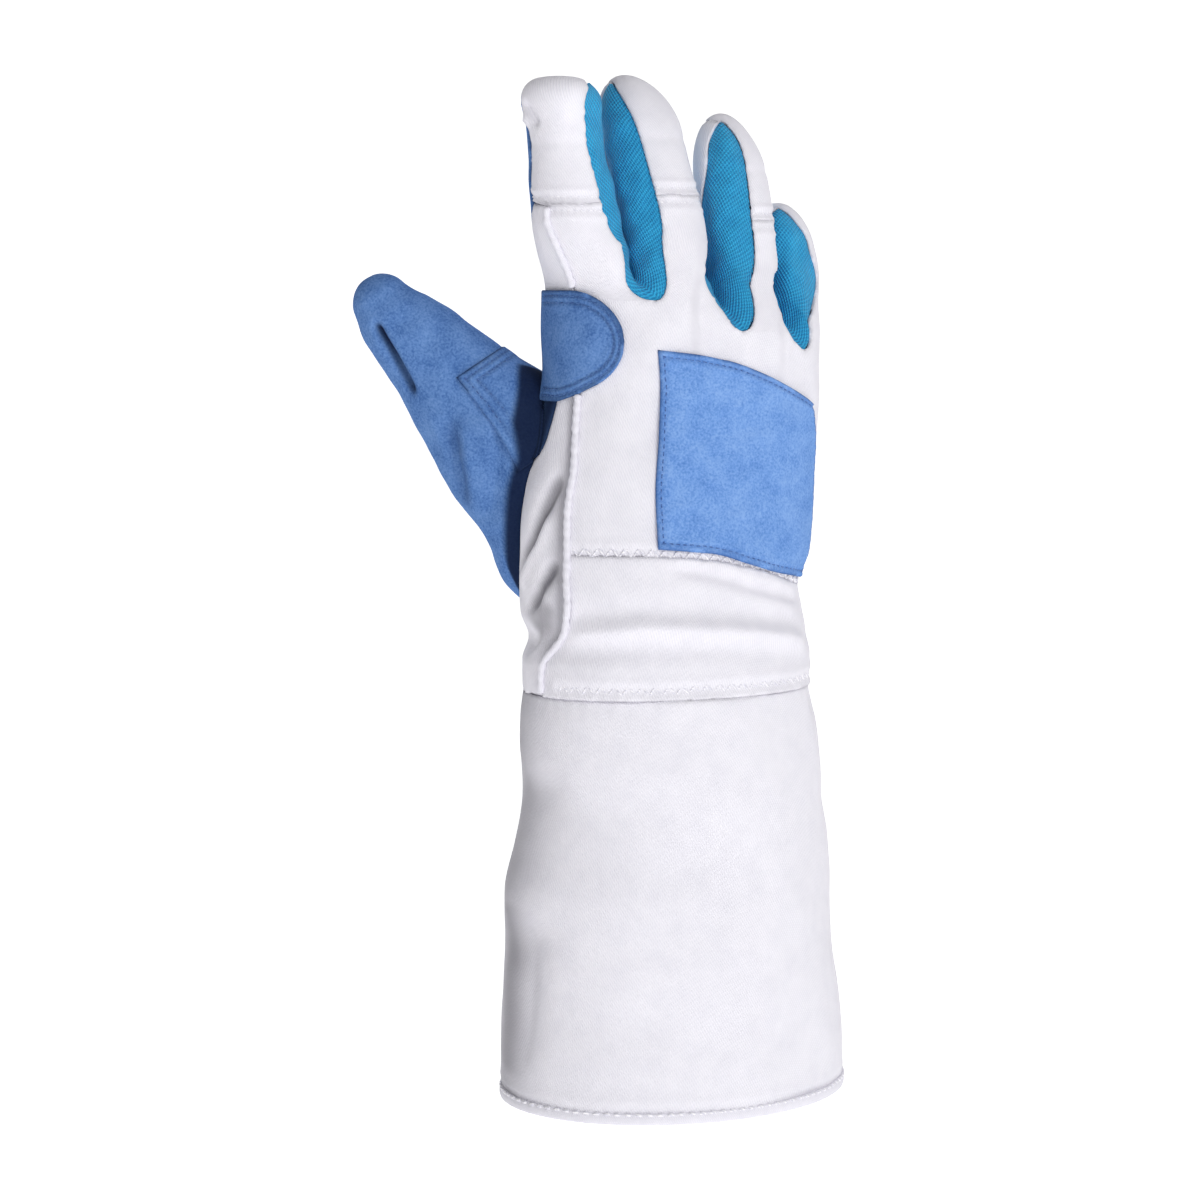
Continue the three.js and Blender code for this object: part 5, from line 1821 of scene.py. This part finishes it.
    def piping(self) -> None:
        """Covered cord in the strip's back seam, above and below the knuckle patch."""
        strip = Strip(0, Side.INNER)
        patch = KnucklePatch
        low = float(SIZES.hand_z(patch.middle - patch.half)) - 0.6
        high = float(SIZES.hand_z(patch.middle + patch.half)) + 0.6
        spans = {
            "side_piping_lower": (SIZES.cuff_length + 1, low),
            "side_piping_upper": (high, strip.finger.seam_z - 1),
        }
        for name, (start, end) in spans.items():
            z = np.linspace(start, end, int((end - start) / 0.7))
            path = strip.point(1.0, z, -0.55)
            wave = 1 + 0.1 * np.sin(z * 2 * np.pi / 3.6) + 0.05 * np.sin(z * 2 * np.pi / 7.1)
            surface = tube(path, (SIZES.piping_radius + 0.1) * wave, 14)
            self.shop.piece(name, surface, Look.BINDING)

    def build(self) -> None:
        """Makes every padded panel and the piping."""
        self.hand_back()
        self.tips()
        self.fronts()
        self.side_strip()
        self.piping()


@dataclass
class Fourchettes:
    """Knit gussets between the fingers."""

    shop: Workshop
    web_half: float = 0.9
    web_foot: float = 0.1
    opening: float = 0.1
    under: float = 1.1
    rows: int = 90
    columns: int = 34
    cuts: tuple[tuple[float, float], ...] = ((0.034, 0.150), (0.031, 0.140), (0.029, 0.120))

    def side_point(self, finger: Finger, right: bool, z: Array) -> Array:
        """Point halfway round a finger's side panel.

        Args:
            finger: the finger.
            right: whether the finger stands right of the gusset, as seen on the back.
            z: height.

        Returns:
            The points.
        """
        seams = finger.seam_angles(z)
        near = seams["back_left"] if right else seams["back_right"]
        far = seams["front_left"] - 360 if right else seams["front_right"]
        return finger.point((near + far) / 2, z)

    def leg(self, number: int, right: bool) -> Array:
        """One leg of a gusset, from the web up one finger: a bow from seam to seam.

        The bow is the curve through the back seam, the middle and the front seam. Its
        middle starts in the web's trough and turns up onto the finger's side.

        Args:
            number: the gusset's number from the thumb side.
            right: whether the leg runs up the finger right of it.

        Returns:
            Rows of points from the web up.
        """
        back, front = (Strip(number + int(right), side) for side in (Side.BACK, Side.FRONT))
        share = 0.0 if right else 1.0
        sign = 1.0 if right else -1.0
        finger = back.finger
        web_z = float(SIZES.hand_z(FORKS[number].web_height))
        open_z = np.asarray(web_z + self.opening * SIZES.hand_width)
        left_side = self.side_point(FINGERS[number], False, open_z)
        right_side = self.side_point(FINGERS[number + 1], True, open_z)
        web = (left_side + right_side) / 2
        top = finger.cap_seam_z - 0.9
        v = np.linspace(0, 1, self.rows)
        rise = v * v * 0.85 + v * 0.15
        t = v * (top - web_z) / (finger.seam_z - web_z)
        level = mix(web_z, top, rise)
        gap = self.web_half * np.sqrt(np.clip(t * (2 - t), 0.0, 1.0))
        low = np.stack([web[0] + sign * gap, web[1] + 0 * gap, level], -1)
        side = self.side_point(finger, right, level)
        middle = mix(low, side, ease((t - self.web_foot) / (1 - self.web_foot))[:, None])
        near_z = mix(float(back.fork_z(share)), top, rise)
        far_z = mix(float(front.fork_z(1 - share)), top, rise)
        cut = back.pocket_share(near_z, not right)
        near = back.point(abs(share - cut), near_z, self.under)
        far = front.point(1 - share, far_z, self.under)
        s = np.linspace(0.0, 1.0, self.columns)[None, :, None]
        return (
            near[:, None] * (1 - s) * (1 - 2 * s)
            + middle[:, None] * 4 * s * (1 - s)
            + far[:, None] * s * (2 * s - 1)
        )

    def build(self) -> None:
        """Makes the three gussets: right leg downwards, through the web, left leg upwards."""
        for number, flat in enumerate(self.cuts):
            right, left = self.leg(number, True), self.leg(number, False)
            points = np.concatenate([right[::-1], left[1:]], 0)
            base = weld(grid_surface(points), grain=2e-3)
            web = (right[0] + left[0]) / 2
            reliefs = [
                Inset(border_segments(base), Softness(0.5, 9, 40 + number), 4.0),
                Groove(web, -0.5, 1.6),
            ]
            node = f"{FINGERS[number].name}_{FINGERS[number + 1].name}_fourchette"
            surface = relieved(base, *reliefs)
            self.shop.sheet(node, surface, Look.KNIT, SIZES.knit_wall, flat)


@dataclass
class KnucklePatch:
    """D-shaped suede patch below the index finger."""

    shop: Workshop
    sewing: Sewing
    middle: float = 0.889
    half: float = 0.126
    outer: float = -100.0
    bend: float = -66.0
    tip: float = -37.0
    round: float = 2.05
    tail: float = 3.5
    flat: tuple[float, float] = (0.039, 0.041)

    def drop(self, angle: Array, low: Array) -> Array:
        """How far the lower edge sinks towards the outer end: the tail, eased along it."""
        return self.tail * ease((self.bend + 14 - angle) / 26) * low

    def outline(self, inset: float) -> Array:
        """The patch's curved edge: straight from the outer end, then a half round.

        Args:
            inset: how far it is moved in.

        Returns:
            The path on the patch's face.
        """
        z_half = self.half * SIZES.hand_length - inset
        tip = self.tip - inset * 1.15
        straight = np.linspace(self.outer + 8, self.bend, 40)
        turn = np.linspace(0, np.pi, 80)
        power = 2 / self.round
        curve_angle = self.bend + (tip - self.bend) * np.sin(turn) ** power
        curve_z = signed_power(np.cos(turn), power) * z_half
        angle = np.concatenate([straight, curve_angle, straight[::-1]])
        rise = np.concatenate([0 * straight + z_half, curve_z, 0 * straight - z_half])
        rise = rise - self.drop(angle, np.clip(-rise / z_half, 0.0, 1.0))
        return hand_point(angle, float(SIZES.hand_z(self.middle)) + rise, -SIZES.patch_face)

    def build(self) -> None:
        """The patch: half height falls to nothing round the tip as a rounded half oval."""
        columns, rows = 80, 44
        part = np.linspace(0, 1, columns) ** 0.8
        angle = mix(self.outer, self.tip, part)[None]
        bend = np.clip((angle - self.bend) / (self.tip - self.bend), 0.0, 1.0)
        shape = (1 - bend**self.round) ** (1 / self.round)
        side = np.sin(np.linspace(-np.pi / 2, np.pi / 2, rows))[:, None]
        z = float(SIZES.hand_z(self.middle)) + self.half * SIZES.hand_length * shape * side
        z = z - self.drop(angle, np.clip(-side, 0.0, 1.0))
        base = weld(grid_surface(hand_point(angle, z, -SIZES.patch_face)), grain=2e-2)
        paths = [self.outline(inset) for inset in (1.9, 4.3)]
        reliefs = [
            Softness(0.3, 14, 61),
            EdgeRoll(border_segments(base), 0.6, 0.9),
            *(Stitching(path, 2.2, 0.5, 0.7, 0.2, 1.3) for path in paths),
            Dent(hand_point(-62.0, 272.0, -SIZES.patch_face), 0.7, 10.0),
        ]
        surface = relieved(base, *reliefs)
        # Painted shade along the stitch rows.
        marks = tuple(Groove(path, 0.4, 0.6) for path in paths)
        self.shop.sheet("knuckle_patch", surface, Look.BLUE, SIZES.patch_wall, self.flat, marks)
        for path in paths:
            self.sewing.row("patch_stitches", surface, path, Stitches(2.2, 1.6, 0.24, 0.12))


@dataclass
class BackPatch:
    """Large suede patch on the back of the hand."""

    shop: Workshop
    sewing: Sewing
    corner: float = 17.0
    slant: float = 3.0
    flat: tuple[float, float] = (0.072, 0.079)
    edges: Curves = field(
        default_factory=lambda: Curves(
            "angle top bottom",
            (0.0, -20, 0.868, 0.374), (0.2, -3, 0.853, 0.361), (0.42, 14, 0.816, 0.328),
            (0.66, 34, 0.774, 0.298), (1.0, 63, 0.725, 0.275),
        )
    )

    def point(self, share: Array, v: Array) -> Array:
        """Point on the patch's face, between its tabled edges.

        Args:
            share: share across the patch.
            v: share up it.

        Returns:
            The points.
        """
        top, bottom = self.edges.at(share, "top"), self.edges.at(share, "bottom")
        z = SIZES.hand_z(mix(bottom, top, v))
        v = np.asarray(v)
        angle = self.edges.at(share, "angle") - self.corner * share**2 * v**3
        angle = angle + self.slant * (1 - 2 * v) * (1 - share)
        return hand_point(angle, z, -SIZES.patch_face)

    def build(self) -> None:
        """The patch with turned edges and one row of stitches inside them."""
        share, v = grid(90, 100)
        base = weld(grid_surface(self.point(share, v)))
        across, up = 0.026, 0.034
        line = np.linspace(0, 1, 80)
        low = self.point(mix(across, 1 - across, line), up)
        left = self.point(np.asarray(across), mix(1 - up, up, line))
        right = self.point(np.asarray(1 - across), mix(up, 1 - up, line))
        high = self.point(mix(1 - across, across, line), 1 - up)
        sides = [left, low, right, high]
        surface = relieved(
            base,
            Softness(0.35, 26, 71),
            Softness(0.14, 8, 73),
            EdgeRoll(border_segments(base), 0.65, 1.1),
            *(Stitching(path, 2.6, 0.45, 0.7, 0.18, 1.3) for path in sides),
        )
        # Painted shade along the stitch rows.
        marks = tuple(Groove(path, 0.3, 0.6) for path in sides)
        self.shop.sheet("back_patch", surface, Look.PALE, SIZES.patch_wall, self.flat, marks)
        for path in sides:
            self.sewing.row("patch_stitches", surface, path, Stitches(2.6, 1.9, 0.24, 0.12))


def oval_place(points: Array) -> tuple[Array, Array, Array]:
    """Where points lie in the hand's oval at their height, the sweep of its sides undone.

    Args:
        points: points in millimetres.

    Returns:
        Shares of the half width and of the half depth towards the back, and the oval's
        roundness.
    """
    width, thick, shift, arch, power = hand_oval(points[..., 2])
    across = (points[..., 0] - shift) / width
    back = -(points[..., 1] - arch * np.clip(across, -1, 1) ** 2) / thick
    return across, back, power


def hand_inside(points: Array) -> Array:
    """The shares' sizes to the power of the roundness, added: 1 on the hand's face, less inside."""
    across, back, power = oval_place(points)
    return np.abs(across) ** power + np.abs(back) ** power


def hand_nearness(points: Array) -> Array:
    """About 1 on the hand's side, less at the crotch, and more further off or palmwards; it bounds the
    hand's painted shadow on the thumb.
    """
    near = np.sqrt(np.maximum(hand_inside(points), 0.0)) - 0.11 * ease((points[..., 2] - 228) / 18)
    return near + ease((points[..., 1] - 19) / 8)


def clear_of_hand(surface: Surface, lift: float) -> Surface:
    """A surface without what lies in the hand: points just inside slide out onto its face.

    Args:
        surface: the surface that stands on the hand.
        lift: how far off the hand's face the slid points lie.

    Returns:
        The surface that is left.
    """
    p = surface.points
    inside = hand_inside(p) < 1.0
    keep = ~inside[surface.quads].all(1)
    quads, cloth = surface.quads[keep], surface.cloth[keep]
    across, back, power = oval_place(p)
    half = power / 2
    angle = np.arctan2(signed_power(across, half), signed_power(back, half)) / RADIAN
    moved = np.where(inside[:, None], hand_point(angle, p[:, 2], -lift), p)
    used = np.unique(quads)
    order = np.full(len(p), -1)
    order[used] = np.arange(len(used))
    return Surface(moved[used], order[quads], cloth)


@dataclass
class Leather:
    """Suede palm, thumb and the patch at the thumb's crotch."""

    shop: Workshop
    sewing: Sewing
    panels: Panels
    palm_flat: tuple[float, float] = (0.115, 0.205)
    thumb_flat: tuple[float, float] = (0.105, 0.150)
    patch_flat: tuple[float, float] = (0.030, 0.060)
    patch_low: float = 0.17
    patch_top: float = 0.55
    patch: Curves = field(
        default_factory=lambda: Curves("free hidden", (0.17, -4, 96), (0.33, 0, 96), (0.55, 4, 84))
    )
    # Painted shadow that the hand casts over the thumb and its patch at the crotch.
    crotch: Relief = Beyond(hand_nearness, 0.95, 1.09, 1.17)

    def palm(self) -> None:
        """The palm's four strips to their forks and the front of the index finger."""
        strips = [Strip(number, Side.FRONT) for number in range(len(FINGERS))]
        index = self.panels.on_finger(strips[0], FINGERS[0].cap_seam_z - 0.3)
        first, *others = (self.panels.on_hand(strip) for strip in strips)
        base = weld(first, index, *others, grain=2e-2)
        surface = relieved(
            base,
            Softness(0.5, 24, 81),
            EdgeRoll(border_segments(base)[::2], 0.7, 2.0),
            Groove(on_hand((215, 262), (150, 236), count=60), -1.0, 4.0, 20),
            Groove(on_hand((228, 222), (190, 196), count=60), -0.9, 4.0, 16),
        )
        # Painted shadow on the palm beside the side strip, where the hand's shadow at the crotch goes
        # on.
        height = np.linspace(212, 264, 40)
        marks = (Groove(hand_point(strip_palm_angle(height) - 366, height), 0.95, 9.0),)
        self.shop.sheet(
            "palm_suede", surface, Look.BLUE, SIZES.suede_wall, self.palm_flat, marks
        )

    def thumb(self) -> None:
        """The thumb: tapering ovals with soft folds and a seam down its outer side."""
        angle = np.linspace(90, 450, 170, endpoint=False)[None]
        turn = np.linspace(0, 1, 130)[:, None]
        start = THUMB_SECTIONS.places[0]
        at = start + (1 - start) * (1 - (1 - turn) ** 1.25)
        base = weld(grid_surface(THUMB.point(angle, at), around=True), grain=2e-2)
        course = ((-24, 0.87), (-32.5, 0.773), (-39, 0.7), (-45, 0.624), (-48, 0.567))
        seam = on_thumb(*course)
        fold = on_thumb((-26, 0.47), (-36, 0.36), (-50, 0.26), (-72, 0.14))
        reliefs = [
            Softness(0.6, 26, 91),
            Softness(0.2, 9, 93),
            Groove(seam, -3.4, 1.9, 5),
            Groove(seam + np.array([-2.6, 0.0, -2.2]), 0.9, 2.2, 5),
            Groove(on_thumb((-52, 0.6), (-60, 0.45), (-66, 0.3)), -0.6, 2.4, 14),
            Groove(on_thumb((-12, 0.46), (-24, 0.36), (-44, 0.24), (-70, 0.13)), 1.6, 3.6, 10),
            Groove(on_thumb((8, 0.36), (-6, 0.28), (-26, 0.18), (-52, 0.06)), -2.2, 3.8, 10),
            Groove(fold, -3.2, 3.4, 10),
            Groove(on_thumb((30, 0.86), (10, 0.8), (-20, 0.84)), -0.4, 3.0, 8),
            Groove(on_thumb((40, 0.68), (16, 0.62), (-10, 0.66)), 0.45, 4.0, 10),
        ]
        surface = clear_of_hand(relieved(base, *reliefs), -0.7)
        # Painted shade: dark inside the slot along the thumb's seam and in the fold, with the hand's
        # painted shadow at the crotch.
        deep = Groove(on_thumb(*course, lift=-2.8), 1.0, 1.9, 4)
        marks = deep, Groove(fold, 0.3, 3.4, 10), self.crotch
        self.shop.sheet("thumb", surface, Look.BLUE, SIZES.suede_wall, self.thumb_flat, marks)

    def thumb_patch(self) -> None:
        """The patch at the crotch, with double rows of stitches along its free edges."""
        share = np.linspace(0, 1, 60)[None]
        at = np.linspace(self.patch_low, self.patch_top, 50)[:, None]
        angle = mix(self.patch.at(at, "free"), self.patch.at(at, "hidden"), share)
        face = SIZES.patch_face
        base = weld(grid_surface(THUMB.point(angle, at, -face)), grain=2e-2)
        paths: list[Array] = []
        line = np.linspace(0, 1, 60)
        for inset in (2.2, 5.0):
            top = self.patch_top - inset / SIZES.thumb_length
            up = mix(self.patch_low + 0.01, top, line)
            free = self.patch.at(up, "free") + inset * 2.6
            around = mix(4.0 + inset * 2.6, 80.0, line)
            paths += [THUMB.point(free, up, -face), THUMB.point(around, top, -face)]
        reliefs = [
            Softness(0.4, 14, 95),
            EdgeRoll(border_segments(base), 0.6, 0.9),
            *(Stitching(path, 2.2, 0.5, 0.7, 0.2, 1.3) for path in paths),
        ]
        surface = clear_of_hand(relieved(base, *reliefs), 1.0)
        # Painted shade along the stitch rows, with the hand's painted shadow at the crotch.
        marks = *(Groove(path, 0.4, 0.6) for path in paths), self.crotch
        self.shop.sheet("thumb_patch", surface, Look.BLUE, SIZES.patch_wall, self.patch_flat, marks)
        for path in paths:
            shown = path[hand_inside(path) > 1.75]
            if len(shown) > 8:
                self.sewing.row("patch_stitches", surface, shown, Stitches(2.2, 1.6, 0.24, 0.12))

    def build(self) -> None:
        """Makes the palm, the thumb and its patch."""
        self.palm()
        self.thumb()
        self.thumb_patch()


@dataclass
class Studio:
    """Camera at the photograph's angle, pale floor and soft lights, in metres."""

    azimuth: float = -25.0
    elevation: float = 6.0
    distance: float = 1.14
    lens: float = 95.0
    aim_side: float = -0.026
    aim_height: float = 0.179
    floor_depth: float = -0.30

    def camera(self) -> None:
        """Camera on a sphere round its aim, turned towards it."""
        turn, rise = self.azimuth * RADIAN, self.elevation * RADIAN
        back = Vector(
            (np.sin(turn) * np.cos(rise), -np.cos(turn) * np.cos(rise), np.sin(rise))
        )
        right = Vector((np.cos(turn), np.sin(turn), 0.0))
        aim = right * self.aim_side + Vector((0.0, 0.0, self.aim_height))
        data = bpy.data.cameras.new("camera")
        data.lens = self.lens
        data.sensor_width = 36.0
        obj = bpy.data.objects.new("camera", data)
        obj.location = aim + back * self.distance
        obj.rotation_euler = back.to_track_quat("Z", "Y").to_euler()
        bpy.context.scene.collection.objects.link(obj)
        bpy.context.scene.camera = obj

    def lamp(self, name: str, place: tuple, power: float, size: float) -> None:
        """A square lamp that faces the glove's middle.

        Args:
            name: the lamp's name.
            place: where it hangs.
            power: its power in watts.
            size: its side.
        """
        data = bpy.data.lights.new(name, "AREA")
        data.energy = power
        data.size = size
        obj = bpy.data.objects.new(name, data)
        obj.location = place
        aim = Vector(place) - Vector((0.0, 0.0, 0.18))
        obj.rotation_euler = aim.to_track_quat("Z", "Y").to_euler()
        bpy.context.scene.collection.objects.link(obj)

    def sweep(self) -> None:
        """Floor that curves up into a back wall: level, then a quarter round, then upright."""
        turn = np.linspace(0, np.pi / 2, 24)
        radius, far, high, half = 2.0, 3.0, 3.0, 6.0
        level = np.array([[-4.0, self.floor_depth], [far, self.floor_depth]])
        bend = np.stack(
            [far + radius * np.sin(turn[1:]), self.floor_depth + radius * (1 - np.cos(turn[1:]))],
            -1,
        )
        wall = np.array([[far + radius, high]])
        line = np.concatenate([level, bend, wall])
        x = np.array([-half, half])
        points = np.stack(np.broadcast_arrays(x[None], line[:, :1], line[:, 1:]), -1)
        surface = grid_surface(points * 1000)
        mesh = Workshop().mesh("studio_sweep", surface)
        mesh.materials.append(StudioCard().build())
        obj = bpy.data.objects.new("studio_sweep", mesh)
        bpy.context.scene.collection.objects.link(obj)

    def build(self) -> None:
        """Makes the camera, the sweep, the lamps and the even light round them."""
        self.camera()
        self.sweep()
        self.lamp("key_lamp", (0.2, -1.3, 1.05), 6.0, 0.3)
        self.lamp("fill_lamp", (-0.6, -1.3, 0.45), 6.5, 1.2)
        self.lamp("back_lamp", (0.6, 1.2, 1.0), 3.0, 1.2)
        self.world()
        bpy.context.scene.view_settings.view_transform = "Standard"

    def world(self) -> None:
        """Light all round, weaker on the thumb's side, and plain white where it is seen."""
        r = Recipe("studio_light", world=True)
        side = r.add("SeparateXYZ", r.add("TexCoord"))
        level = r.add("MapRange", side, -0.8, 0.5, 0.03, 0.55)
        seen = r.add("LightPath")
        r.surface(Color=(1.0, 1.0, 1.0, 1.0), Strength=r.add("Math", level, seen))
        bpy.context.scene.world = r.owner


def main() -> None:
    """Loads the frame, builds the studio and dresses every piece."""
    logging.basicConfig(level=logging.INFO, format="%(message)s")
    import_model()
    Studio().build()
    shop = Workshop()
    sewing = Sewing(shop)
    Cuff(shop, sewing).build()
    panels = Panels(shop, sewing)
    panels.build()
    Fourchettes(shop).build()
    Leather(shop, sewing, panels).build()
    KnucklePatch(shop, sewing).build()
    BackPatch(shop, sewing).build()
    sewing.finish("patch_stitches", Look.BLUE_THREAD)


if __name__ == "__main__":
    main()
